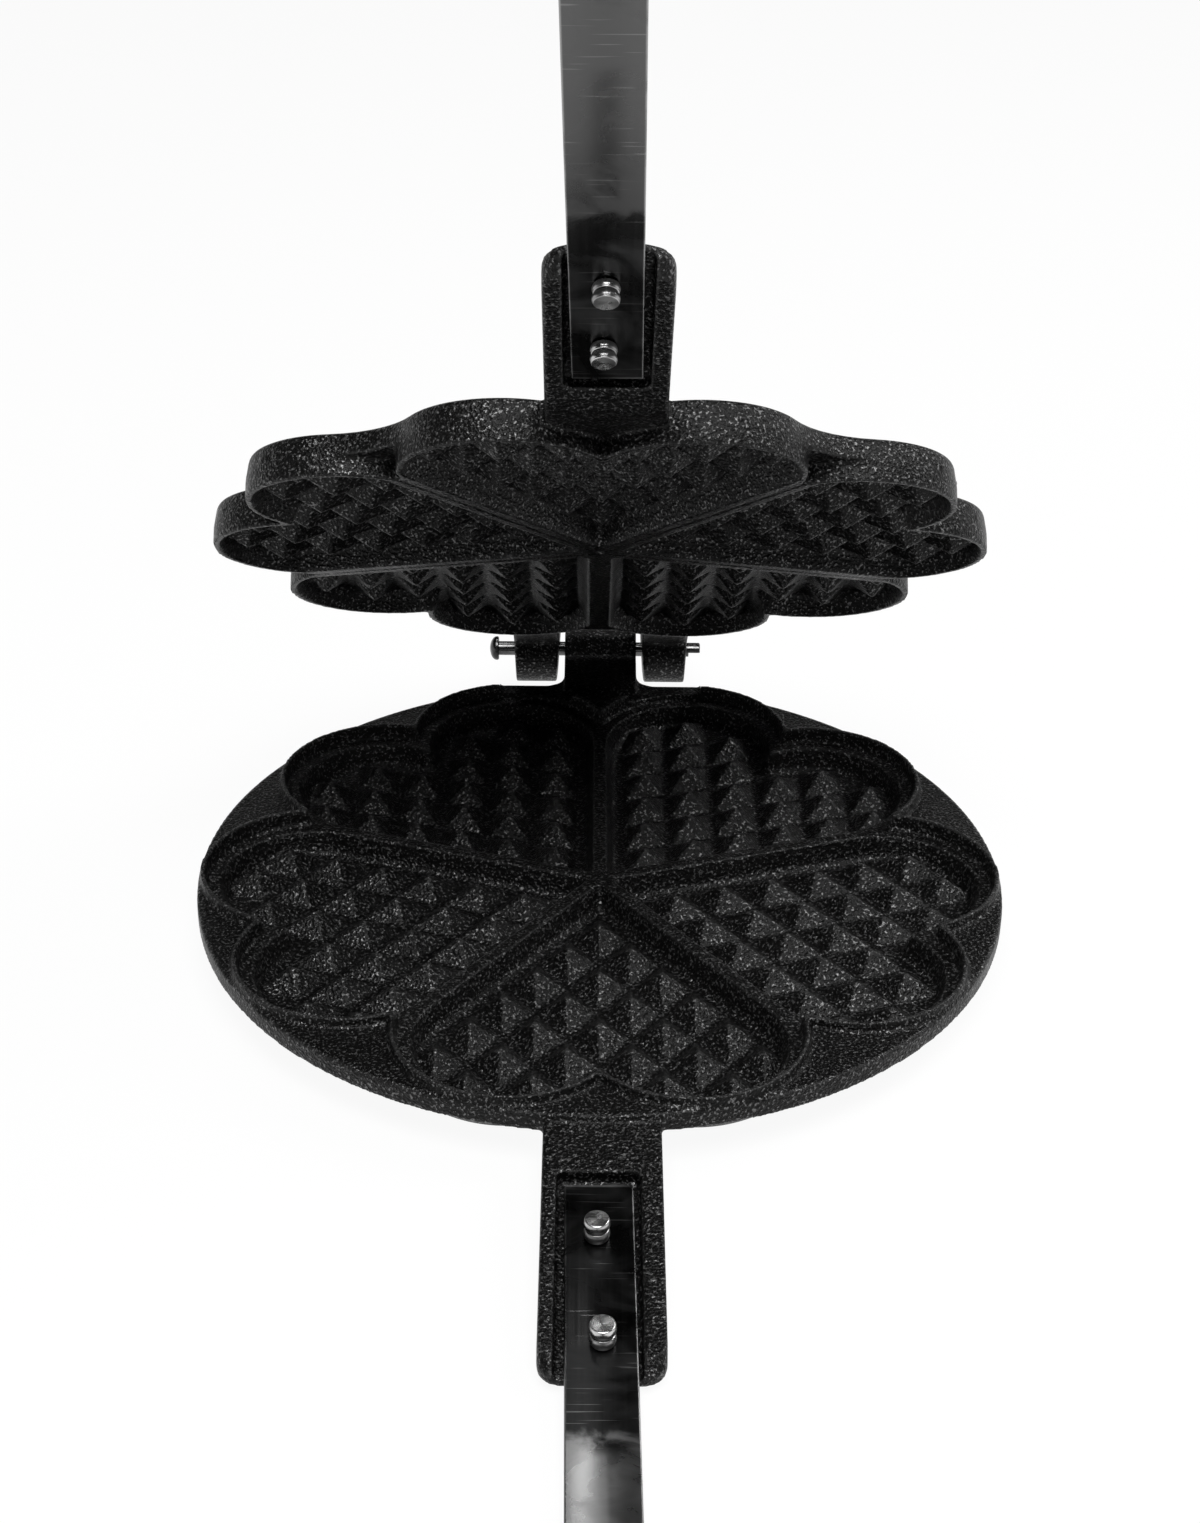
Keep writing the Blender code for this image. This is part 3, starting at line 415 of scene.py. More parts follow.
@dataclass(frozen=True)
class Moulds:
    """The heart hollows of a plate and the pyramids that stand in them."""

    divider: float = 0.0038
    depth: float = 0.0069
    draft: float = 0.0017
    foot_height: float = 0.0014
    foot: float = 0.0013
    cleft_fillet: float = 0.0012
    tip_fillet: float = 0.0015
    pitch: float = 0.01465
    groove: float = 0.0015
    pyramid_height: float = 0.0054
    first: float = 0.0228
    sink: float = 0.05

    def hollows(self, flower: Flower, mouth: float, wall: float, mouth_z: float, down: int) -> Solid:
        """All five hollows, each skinned over its mouth, its drafted wall and its foot.

        Args:
            flower: Where the hearts lie.
            mouth: Radius of a heart's lobes at its mouth.
            wall: Distance of a heart's sides from the middle of the divider.
            mouth_z: Height of the mouth.
            down: -1 where the hollow goes down from its mouth, 1 where it goes up.

        Returns:
            The solids to cut.
        """
        levels = [
            (0.0, mouth_z - down * OVERRUN),
            (0.0, mouth_z),
            (self.draft, mouth_z + down * (self.depth - self.foot_height)),
            (self.draft + self.foot, mouth_z + down * self.depth),
        ]
        solids = []
        for axis in flower.axes():
            rings = []
            for inset, z in levels:
                fillet = self.cleft_fillet + inset
                outline = flower.heart(axis, mouth - inset, wall + inset, fillet, self.tip_fillet)
                rings.append(lift(outline, z, flower.middle))
            solids.append(skin(rings))
        return join(solids)

    def places(self, flower: Flower) -> list[tuple[Points, float]]:
        """Centres of the pyramids: a lattice along a heart's two dividers, kept where it falls on the floor."""
        wall = self.divider / 2 + self.draft + self.foot
        floor = flower.to_divider - wall
        count = math.ceil((flower.out + floor) / self.pitch)
        steps = np.arange(count) * self.pitch
        along, beside = (grid.ravel() for grid in np.meshgrid(steps, steps, indexing="ij"))
        kept = []
        for axis in flower.axes():
            first, second = polar(1.0, axis - HALF_HEART), polar(1.0, axis + HALF_HEART)
            spots = polar(self.first, axis) + np.outer(along, first) + np.outer(beside, second)
            out, aside = spots @ polar(1.0, axis), np.abs(spots @ polar(1.0, axis + math.pi / 2))
            to_side = out * math.sin(HALF_HEART) - aside * math.cos(HALF_HEART)
            lobes = [np.linalg.norm(spots - centre, axis=1) < floor for centre in flower.lobes(axis)]
            inside = lobes[0] | lobes[1] | ((out < flower.out) & (to_side > wall))
            kept += [(spot, axis) for spot in spots[inside]]
        return kept

    def pyramids(self, lattice: Flower, floor_z: float, down: int, middle: Sequence[float]) -> Solid:
        """The pyramids of a plate: rhombic cones with sides along the dividers, sunk a little into the floor.

        Args:
            lattice: The flower whose lobes the lattice follows.
            floor_z: Height of the moulds' floor.
            down: -1 where the pyramids point up from the floor, 1 where they point down.
            middle: Middle of the plate.

        Returns:
            The solids to fuse.
        """
        grow = 1 + self.sink
        across = (self.pitch - self.groove) * math.sin(HALF_HEART) * grow
        along = (self.pitch - self.groove) * math.cos(HALF_HEART) * grow
        foot_z = floor_z + down * self.pyramid_height * self.sink
        peak_z = floor_z - down * self.pyramid_height
        faces = [[3, 2, 1, 0], [0, 1, 4], [1, 2, 4], [2, 3, 4], [3, 0, 4]]
        solids = []
        for spot, axis in self.places(lattice):
            centre = spot + np.asarray(middle)
            forward, side = polar(along, axis), polar(across, axis + math.pi / 2)
            foot = centre + np.array((forward, side, -forward, -side))
            solids.append((np.vstack((lift(foot, foot_z), lift(centre[None, :], peak_z))), faces))
        return join(solids)


# Handles


@dataclass(frozen=True)
class Lug:
    """A handle lug with its channel, and the frame it lies in: -Y runs out along it, +Z points out of its channel."""

    frame: Matrix
    length: float
    tilt: float
    root_height: float
    channel_start: float
    channel_aside: float
    rivets: tuple[tuple[float, float], ...]
    width: float = 0.0297
    height: float = 0.0090
    tip_height: float = 0.0056
    root: float = 0.0180
    tip_slope: float = 0.0035
    tip_drop: float = 0.0030
    tip_fillet: float = 0.0055
    barrel_height: float = 0.0028
    channel_width: float = 0.0206
    channel_depth: float = 0.0038
    channel_corner: float = 0.0020
    tip_steps: int = 10

    def profile(self, reach: float) -> list[tuple[float, float]]:
        """Side view as (out, up) pairs: level at its root, thinner and sloped at its tip."""
        fall = self.root * math.tan(self.tilt)
        return [
            (-self.root, -fall),
            (0.0, 0.0),
            (reach - self.tip_slope, 0.0),
            (reach, -self.tip_drop),
            (reach, -self.tip_height),
            (0.0, -self.height),
            (-self.root, -fall - self.root_height),
        ]

    def solid(self) -> Solid:
        """The lug before its channel is cut: its side view carried across, shorter where the tip's corners turn."""
        corner = (self.width / 2 - self.tip_fillet, self.length - self.tip_fillet)
        curve = arc(corner, self.tip_fillet, 0.0, math.pi / 2, self.tip_steps)
        sections = np.vstack((curve * (-1, 1), curve[::-1]))
        rings = [[(x, -out, up) for out, up in self.profile(reach)] for x, reach in sections]
        return moved(skin(rings), self.frame)

    def channel(self) -> Solid:
        """What the channel takes away: a long outline with two rounded inner corners, carried up."""
        half, corner, end = self.channel_width / 2, self.channel_corner, -self.channel_start
        outline = np.vstack(
            (
                arc((half - corner, end - corner), corner, 0.0, math.pi / 2, 6),
                arc((corner - half, end - corner), corner, math.pi / 2, math.pi, 6),
                [(-half, -self.length - OVERRUN), (half, -self.length - OVERRUN)],
            )
        )
        rings = [lift(outline, z, (self.channel_aside, 0.0)) for z in (-self.channel_depth, OVERRUN)]
        return moved(skin(rings), self.frame)

    def bottom(self, out: float) -> float:
        """Height of the lug's back face under a point along it."""
        return -self.height + (self.height - self.tip_height) * out / self.length


@dataclass
class Strap:
    """A flat bar handle: straight in its lug, then gently bent, with a round end."""

    name: str
    part: Part
    lug: Lug
    start: float
    bend_start: float
    bend_length: float
    bend: float
    aside: float
    skew: float
    width: float = 0.0168
    thickness: float = 0.0030
    edge: float = 0.0004
    length: float = 0.1800
    seat: float = 0.0003
    last_turn: float = math.radians(80)

    @property
    def top(self) -> float:
        """Height of the strap's visible face in its lug's frame."""
        return -self.lug.channel_depth + self.seat + self.thickness

    def centre_line(self) -> Points:
        """Rows of (out, up, angle, half width): out and up are sums of steps (cos angle, -sin angle)."""
        straight = np.linspace(self.start, self.bend_start, 12)
        turns = self.bend * np.arange(1, 25) / 24
        step = self.bend_length / 24
        rest = self.start + self.length - self.bend_start - self.bend_length
        angle = np.concatenate((np.zeros(12), turns, np.full(12, self.bend)))
        lengths = np.concatenate((np.diff(straight), np.full(24, step), np.full(12, rest / 12)))
        out = straight[0] + np.concatenate(((0.0,), np.cumsum(lengths * np.cos(angle[1:]))))
        up = self.top - self.thickness / 2 - np.concatenate(((0.0,), np.cumsum(lengths * np.sin(angle[1:]))))
        line = np.column_stack((out, up, angle, np.full(len(out), self.width / 2)))
        turn = np.linspace(0.0, self.last_turn, 14)[1:]
        beyond = self.width / 2 * np.sin(turn)
        tip = np.column_stack(
            (
                out[-1] + beyond * math.cos(self.bend),
                up[-1] - beyond * math.sin(self.bend),
                np.full(len(turn), self.bend),
                self.width / 2 * np.cos(turn),
            )
        )
        return np.vstack((line, tip))

    def section(self, half: float) -> Points:
        """Cross section: a flat bar whose four edges are quarter circles of radius edge."""
        edge = min(self.edge, half / 2)
        thick = self.thickness / 2
        corners = []
        for k, (x, z) in enumerate(((1, 1), (-1, 1), (-1, -1), (1, -1))):
            centre = (x * (half - edge), z * (thick - edge))
            corners.append(arc(centre, edge, k * math.pi / 2, (k + 1) * math.pi / 2, 3))
        return np.vstack(corners)

    def solid(self) -> Solid:
        """The section carried along the centre line, square to it."""
        rings = []
        for out, up, angle, half in self.centre_line():
            flat = self.section(half)
            x, z = flat[:, 0], flat[:, 1]
            rings.append(np.column_stack((x, -out + z * math.sin(angle), up + z * math.cos(angle))))
        lie = Matrix.Translation((self.aside, 0, 0)) @ Matrix.Rotation(self.skew, 4, "Z")
        return moved(skin(rings), self.lug.frame @ lie)

    def make(self, finish: bpy.types.Material, place: Matrix) -> None:
        """Builds the strap, with each point's place along and across it as attributes, and puts it in its place."""
        mesh = mesh_of(self.name, self.solid())
        line = self.centre_line()
        count = len(mesh.vertices) // len(line)
        across = np.concatenate([self.section(half)[:, 0] / half for half in line[:, 3]])
        for label, values in {"along": np.repeat(line[:, 0], count), "across": across}.items():
            mesh.attributes.new(label, "FLOAT", "POINT").data.foreach_set("value", values.astype(np.float32))
        mesh.shade_smooth()
        mesh.set_sharp_from_angle(angle=math.radians(50))
        place_piece(self.name, mesh, finish, self.part, [self.name], place)


@dataclass
class Rivet:
    """A rivet through a strap and its lug, with the collar under its tail."""

    label: str
    strap: Strap
    aside: float
    out: float
    radius: float = 0.0020
    head_radius: float = 0.0042
    head_height: float = 0.0016
    tail_radius: float = 0.0032
    clearance: float = 0.0003
    edge: float = 0.0003
    bulge: float = 0.00025
    gap: float = 0.0003
    steps: int = 64

    @property
    def height(self) -> float:
        """Height of the tail, and of the collar."""
        return self.strap.lug.barrel_height

    def rounded(self, radius: float, low: float, high: float) -> list[tuple[float, float]]:
        """Half section of a barrel from its top face down: round edges, and a wall radius - bulge t^2, t from -1 to 1."""
        end = radius - self.bulge - self.edge
        top = arc((end, high - self.edge), self.edge, math.pi / 2, 0.0, 5)
        under = arc((end, low + self.edge), self.edge, 0.0, -math.pi / 2, 5)
        t = np.linspace(1.0, -1.0, 13)[1:-1]
        middle, half = (low + high) / 2, (high - low) / 2 - self.edge
        wall = np.column_stack((radius - self.bulge * t**2, middle + half * t))
        return [tuple(point) for point in np.vstack((top, wall, under))]

    def tail_profile(self) -> list[tuple[float, float]]:
        """Half section of the rivet: flat tail with fine turning rings, shank, and a low dome behind the lug."""
        seat = self.strap.top + self.gap + self.height + self.gap
        end = seat + self.height
        head = self.strap.lug.bottom(self.out) - self.gap
        rings = np.linspace(0.0002, self.tail_radius - self.bulge - self.edge, 22)[:-1]
        dish = end - 0.00006 * (1 - np.cos(rings / self.tail_radius * 44)) / 2
        dome = arc((0.0, 0.0), 1.0, 0.0, -math.pi / 2, 10)[:-1]
        return [
            *zip(rings.tolist(), dish.tolist()),
            *self.rounded(self.tail_radius, seat, end),
            (self.radius, seat),
            (self.radius, head),
            *[(self.head_radius * x, head + self.head_height * z) for x, z in dome],
        ]

    def collar_profile(self) -> list[tuple[float, float]]:
        """Section of the collar."""
        low = self.strap.top + self.gap
        high = low + self.height
        bore = self.radius + self.clearance
        return [(bore, high), *self.rounded(self.tail_radius, low, high), (bore, low)]

    def make(self, finish: bpy.types.Material, place: Matrix) -> None:
        """Builds the rivet and its collar and puts them in their place."""
        side = "lower" if self.strap.part is Part.BASE else "upper"
        spot = self.strap.lug.frame @ Matrix.Translation((self.aside, -self.out, 0))
        pieces = {
            f"{side}_rivet_{self.label}": turned(self.tail_profile(), self.steps),
            f"{side}_rivet_collar_{self.label}": turned_ring(self.collar_profile(), self.steps),
        }
        for name, solid in pieces.items():
            mesh = mesh_of(name, solid)
            mesh.shade_smooth()
            mesh.set_sharp_from_angle(angle=math.radians(40))
            place_piece(name, mesh, finish, self.strap.part, [name], place @ spot)


# Castings


@dataclass
class Hinge:
    """The hinge line and the pin on it."""

    back: float = 0.1378
    height: float = 0.0172
    open_angle: float = math.radians(39.7)
    knuckle_width: float = 0.0237
    ear_gap: float = 0.00165
    ear_width: float = 0.0156
    pin_radius: float = 0.00235
    hole_radius: float = 0.00244
    head_radius: float = 0.0040
    head_thickness: float = 0.0030
    head_gap: float = 0.0050
    tail: float = 0.0043
    tail_cut: float = 0.0038

    @property
    def ears(self) -> float:
        """Distance from the middle to an ear's outer face."""
        return self.knuckle_width / 2 + self.ear_gap + self.ear_width

    def lid_place(self) -> Matrix:
        """Where the lid's own frame lies at rest: on the hinge line, swung open."""
        return Matrix.Translation((0, self.back, self.height)) @ Matrix.Rotation(-self.open_angle, 4, "X")

    def hole(self) -> Solid:
        """The hole for the pin, along X through the origin."""
        half = self.ears + OVERRUN
        return moved(round_bar(self.hole_radius, -half, half, 48), Matrix.Rotation(math.pi / 2, 4, "Y"))

    def make(self, finish: bpy.types.Material) -> None:
        """Builds the pin: a mushroom head on the left and a tail with its lower half cropped on the right."""
        low, high = -self.ears - self.head_gap, self.ears + self.tail
        dome = arc((0.0, 0.0), 1.0, -math.pi / 2, 0.0, 12)[1:]
        edge = 0.0003
        profile = [
            *[(self.head_radius * x, low - self.head_thickness * 0.25 + self.head_thickness * 0.75 * z) for x, z in dome],
            (self.head_radius, low - edge),
            (self.head_radius - edge, low),
            (self.pin_radius, low),
            (self.pin_radius, high - edge),
            (self.pin_radius - edge, high),
        ]
        turn = Matrix.Translation((0, self.back, self.height)) @ Matrix.Rotation(math.pi / 2, 4, "Y")
        pin = Foundry("hinge_pin")
        crop_low = (high - self.tail_cut, self.back - OVERRUN, self.height - OVERRUN)
        crop_high = (high + OVERRUN, self.back + OVERRUN, self.height)
        pin.cut(box(crop_low, crop_high))
        mesh = pin.fused(moved(turned(profile, 64), turn))
        mesh.shade_smooth()
        mesh.set_sharp_from_angle(angle=math.radians(40))
        place_piece("hinge_pin", mesh, finish, Part.BASE, ["hinge_pin"])


@dataclass
class BottomPlate:
    """The bottom casting: disc, belly, base pad, flower lip, moulds, knuckle and lug."""

    hinge: Hinge
    moulds: Moulds
    lug: Lug
    flower: Flower = Flower(0.080, 0.02375)
    disc_radius: float = 0.1154
    disc_thickness: float = 0.0055
    top: float = 0.016
    lip_lobe: float = 0.0314
    lip_foot: float = 0.0004
    lip_wall: float = 0.0013
    lip_height: float = 0.0026
    lip_fillet: float = 0.0012
    lip_draft: float = 0.0006
    shelf_drop: float = 0.0022
    belly_levels: tuple[tuple[float, float], ...] = ((0.0, 0.00275), (0.0, 0.0055), (0.0019, 0.0082), (0.0075, 0.0125))
    belly_lobe: float = 0.0310
    pad_radius: float = 0.092
    pad_edge: float = 0.0008
    ledge_width: float = 0.066
    ledge_back: float = 0.1143
    ledge_drop: float = 0.0003
    gap_depth: float = 0.0115
    knuckle_radius: float = 0.0070
    knuckle_flare: float = 0.0070
    knuckle_root: float = 0.0300
    knuckle_rise: float = 0.0012
    knuckle_sink: float = 0.0002

    def lofted(self, levels: Sequence[tuple[float, float]], cleft: float, notch: float) -> Solid:
        """A flower skinned over (lobe radius, height) levels."""
        return skin([lift(self.flower.outline(lobe, cleft, notch), z) for lobe, z in levels])

    def pad(self) -> Solid:
        """The round flat pad under the belly, with its foot taken off at the edge."""
        high = self.top - self.belly_levels[2][1]
        return turned(
            [(self.pad_radius, high), (self.pad_radius, self.pad_edge), (self.pad_radius - self.pad_edge, 0.0)], 128
        )

    def ledge(self) -> Solid:
        """The straight ledge behind the disc and the flared root of the knuckle."""
        half = self.ledge_width / 2
        arm = self.knuckle_width_inside()
        flare, back = self.knuckle_flare, self.ledge_back
        right = arc((arm + flare, back + flare), flare, -math.pi / 2, -math.pi, 10)
        left = right[::-1] * (-1, 1)
        front = back - self.knuckle_root / 2
        outline = np.vstack(([(-half, front), (half, front), (half, back)], right, left, [(-half, back)]))
        heights = (self.top - self.disc_thickness + self.ledge_drop, self.top + self.ledge_drop)
        return skin([lift(outline, z) for z in heights])

    def knuckle_width_inside(self) -> float:
        """Half the width of the knuckle's root, which ends just inside the barrel."""
        return self.hinge.knuckle_width / 2 - self.knuckle_sink

    def knuckle(self) -> Solid:
        """The barrel of the hinge and the rise that leads up to it: one side view carried across."""
        half, back, axis = self.hinge.knuckle_width / 2, self.hinge.back, self.hinge.height
        start = back - self.knuckle_root
        third = math.pi * 2 / 3
        outline = np.vstack(
            (
                arc((back, axis), self.knuckle_radius, -third, third, 36),
                [
                    (back - self.knuckle_radius, self.top + self.knuckle_rise * 2),
                    (start + self.knuckle_rise * 3, self.top + self.knuckle_rise),
                    (start, self.top - self.ledge_drop * 2),
                    (start, self.top - self.disc_thickness / 2),
                    (self.ledge_back, self.top - self.disc_thickness + self.ledge_drop * 2),
                ],
            )
        )
        rings = [np.column_stack((np.full(len(outline), x), outline)) for x in (-half, half)]
        return skin(rings)

    def gap(self) -> Solid:
        """What is taken off the lip where the lid's hinge arms pass over it."""
        half = self.ledge_width / 2 - self.knuckle_sink * 2
        low = (-half, self.ledge_back - self.gap_depth, self.top - self.ledge_drop)
        return box(low, (half, self.hinge.back, self.top + self.lip_height + OVERRUN))

    def make(self, finish: bpy.types.Material) -> None:
        """Casts the plate and puts it in its place."""
        lip, top = self.lip_lobe, self.top
        shelf = top - self.shelf_drop
        mouth = lip - self.lip_wall
        rim = top + self.lip_height
        casting = Foundry("lower_plate")
        belly = [(self.belly_lobe - inset, top - drop) for inset, drop in self.belly_levels]
        casting.add(self.lofted(belly, 0.006, 0.010))
        casting.add(self.pad())
        lip_levels = [(lip + self.lip_foot, top - self.disc_thickness / 2), (lip, rim)]
        casting.add(self.lofted(lip_levels, self.lip_fillet, self.lip_fillet))
        casting.add(self.ledge())
        casting.cut(self.gap())
        casting.add(self.knuckle())
        casting.add(self.lug.solid())
        recess = [(mouth - self.lip_draft, shelf), (mouth, rim), (mouth, rim + OVERRUN)]
        casting.cut(self.lofted(recess, self.lip_fillet, self.lip_fillet))
        wall = self.moulds.divider / 2
        casting.cut(self.moulds.hollows(self.flower, self.flower.to_divider - wall, wall, shelf, -1))
        casting.add(self.moulds.pyramids(self.flower, shelf - self.moulds.depth, -1, (0.0, 0.0)))
        casting.cut(moved(self.hinge.hole(), Matrix.Translation((0, self.hinge.back, self.hinge.height))))
        casting.cut(self.lug.channel())
        disc = round_bar(self.disc_radius, top - self.disc_thickness, top, 240)
        place_piece("lower_plate", casting.cast(disc), finish, Part.BASE, ["lower_plate"])


@dataclass
class Lid:
    """The top casting, worked out closed about the hinge line: shell, rims, moulds, ears and lug."""

    hinge: Hinge
    moulds: Moulds
    lug: Lug
    lattice: Flower
    flower: Flower = Flower(0.0776, 0.0244, (-0.0008, 0.0004 - 0.1378))
    rim_z: float = 0.0003 - 0.0022 - 0.0012
    lobe: float = 0.0276
    rim_wall: float = 0.0017
    side_wall: float = 0.0029
    groove: float = 0.0010
    rim_depth: float = 0.0051
    depth: float = 0.0118
    draft: float = 0.0006
    shell_round: float = 0.0022
    cleft_fillet: float = 0.008
    notch_fillet: float = 0.030
    cleft_sharp: float = 0.0006
    tip_fillet: float = 0.0003
    ear_radius: float = 0.0100
    ear_drop: float = 0.0010
    arm_clearance: float = 0.0010
    arm_root: float = 0.0400
    ear_draft: float = 0.06
    web_root: float = 0.0450
    web_end: float = 0.0105
    web_low: float = 0.0040
    web_high: float = 0.0063
    web_overlap: float = 0.0010

    def shell(self) -> Solid:
        """The outer body behind the rims, with its back edge rounded."""
        top = self.rim_z + self.depth
        back, round_ = self.lobe - self.draft, self.shell_round
        bend = arc((back - round_, top - round_), round_, 0.0, math.pi / 2, 6)
        levels = [(self.lobe, self.rim_z + self.rim_depth), *[tuple(point) for point in bend]]
        rings = [self.flower.outline(lobe, self.cleft_fillet, self.notch_fillet) for lobe, _ in levels]
        return skin([lift(ring, z, self.flower.middle) for ring, (_, z) in zip(rings, levels)])

    def rims(self) -> Solid:
        """The five heart rims, parted by narrow grooves."""
        side = self.groove / 2
        top = self.rim_z + (self.rim_depth + self.depth) / 2
        solids = []
        for axis in self.flower.axes():
            outline = self.flower.heart(axis, self.lobe, side, self.cleft_sharp, self.tip_fillet)
            inset = self.flower.heart(axis, self.lobe - self.draft, side, self.cleft_sharp, self.tip_fillet)
            levels = [(outline, self.rim_z), (outline, self.rim_z + self.rim_depth), (inset, top)]
            solids.append(skin([lift(points, z, self.flower.middle) for points, z in levels]))
        return join(solids)

    def ear(self, side: int) -> Solid:
        """One hinge arm with its ear: one side view carried across, each wall leaning in by the draft times its depth."""
        under = self.arm_clearance - 0.0012
        over = self.rim_z + self.depth - self.shell_round
        radius = self.ear_radius
        outline = np.vstack(
            (
                [(-self.arm_root, under), (-radius - self.ear_drop, under)],
                arc((0.0, -self.ear_drop), radius, -math.pi, 0.0, 30),
                arc((0.0, over - radius / 2), radius, math.pi / 6, math.pi / 3, 8),
                [(-radius, over), (-self.arm_root, over)],
            )
        )
        inner = self.hinge.knuckle_width / 2 + self.hinge.ear_gap
        outer = inner + self.hinge.ear_width
        lean = self.ear_draft * (over - outline[:, 1])
        return skin([np.column_stack((side * x, outline)) for x in (inner + lean, outer - lean)])

    def web(self) -> Solid:
        """The web between the two hinge arms, which closes the notch behind the rear hearts."""
        half = self.hinge.knuckle_width / 2 + self.hinge.ear_gap + self.web_overlap
        return box((-half, -self.web_root, self.web_low), (half, -self.web_end, self.web_high))

    def make(self, finish: bpy.types.Material) -> None:
        """Casts the lid and puts it in its open place."""
        casting = Foundry("upper_plate")
        casting.add(self.rims())
        casting.add(self.ear(1))
        casting.add(self.ear(-1))
        casting.add(self.web())
        casting.add(self.lug.solid())
        wall = self.groove / 2 + self.side_wall
        mouth = self.lobe - self.rim_wall
        casting.cut(self.moulds.hollows(self.flower, mouth, wall, self.rim_z, 1))
        floor = self.rim_z + self.moulds.depth
        casting.add(self.moulds.pyramids(self.lattice, floor, 1, self.flower.middle))
        casting.cut(self.hinge.hole())
        casting.cut(self.lug.channel())
        mesh = casting.cast(self.shell())
        place_piece("upper_plate", mesh, finish, Part.LID, ["upper_plate"], self.hinge.lid_place())


# Finishes


@dataclass
class Nodes:
    """A short way to write a node tree."""

    tree: bpy.types.NodeTree

    def add(self, kind: str, settings: dict[str, Any] | None = None, **inputs: Any) -> bpy.types.Node:
        """Adds a node.

        Args:
            kind: The node's type.
            settings: Its own settings.
            inputs: Its sockets by name, with _ for a space: a number or colour to set, or a socket to link.

        Returns:
            The node.
        """
        node = self.tree.nodes.new(kind)
        for key, value in (settings or {}).items():
            setattr(node, key, value)
        for key, value in inputs.items():
            name = key.replace("_", " ")
            socket = node.inputs[int(key[1:])] if key[0] == "i" and key[1:].isdigit() else node.inputs[name]
            if isinstance(value, bpy.types.NodeSocket):
                self.tree.links.new(value, socket)
            else:
                socket.default_value = value
        return node

    def math(self, operation: str, first: Any, second: Any = 0.0, clamp: bool = False) -> bpy.types.NodeSocket:
        """One sum of two values."""
        return self.add("ShaderNodeMath", {"operation": operation, "use_clamp": clamp}, i0=first, i1=second).outputs[0]

    def band(self, value: Any, low: float, high: float, to_low: float, to_high: float) -> bpy.types.NodeSocket:
        """A value taken smoothly from one range to another and kept at its ends."""
        settings = {"interpolation_type": "SMOOTHSTEP"}
        made = self.add("ShaderNodeMapRange", settings, i0=value, i1=low, i2=high, i3=to_low, i4=to_high)
        return made.outputs[0]

    def blend(self, amount: Any, first: Any, second: Any) -> bpy.types.NodeSocket:
        """A colour between two."""
        mix = self.add("ShaderNodeMix", {"data_type": "RGBA"}, i0=amount, i6=first, i7=second)
        return mix.outputs[2]


def grey(value: float, warmth: float = 0.0) -> tuple[float, float, float, float]:
    """A nearly neutral colour, a little warmer or cooler."""
    return value * (1 + warmth), value, value * (1 - warmth), 1.0


def new_group(name: str, inputs: dict[str, tuple[str, Any]], outputs: dict[str, str]) -> tuple[Nodes, Any, Any]:
    """Starts a node group.

    Args:
        name: Its name.
        inputs: Socket type and starting value of each input.
        outputs: Socket type of each output.

    Returns:
        The tree, its input node and its output node.
    """
    tree = bpy.data.node_groups.new(name, "ShaderNodeTree")
    for label, (kind, value) in inputs.items():
        socket = tree.interface.new_socket(label, in_out="INPUT", socket_type=kind)
        if value is not None:
            socket.default_value = value
    for label, kind in outputs.items():
        tree.interface.new_socket(label, in_out="OUTPUT", socket_type=kind)
    nodes = Nodes(tree)
    return nodes, nodes.add("NodeGroupInput"), nodes.add("NodeGroupOutput")


def grain_group() -> bpy.types.NodeTree:
    """Sand grain: fine pits and crumbs, sparse bright crumbs, and slow patches over them."""
    nodes, given, out = new_group(
        "sand_grain",
        {"Vector": ("NodeSocketVector", None), "Grains": ("NodeSocketFloat", 1000.0)},
        {"Height": "NodeSocketFloat", "Speck": "NodeSocketFloat", "Patch": "NodeSocketFloat"},
    )
    vector, grains = given.outputs["Vector"], given.outputs["Grains"]
    fine = nodes.add("ShaderNodeTexNoise", Vector=vector, Scale=grains, Detail=2.0, Roughness=0.5)
    crumbs = nodes.add("ShaderNodeTexVoronoi", {"feature": "SMOOTH_F1"}, Vector=vector, Scale=grains, Smoothness=0.6)
    crumb = nodes.math("MULTIPLY", crumbs.outputs["Distance"], -0.55)
    nodes.tree.links.new(nodes.math("ADD", fine.outputs[0], crumb), out.inputs["Height"])
    speck = nodes.band(fine.outputs[0], 0.56, 0.68, 0.0, 1.0)
    nodes.tree.links.new(speck, out.inputs["Speck"])
    patch_scale = nodes.math("MULTIPLY", grains, 0.045)
    patch = nodes.add("ShaderNodeTexNoise", Vector=vector, Scale=patch_scale, Detail=4.0, Roughness=0.6)
    nodes.tree.links.new(nodes.band(patch.outputs[0], 0.36, 0.64, 0.0, 1.0), out.inputs["Patch"])
    return nodes.tree


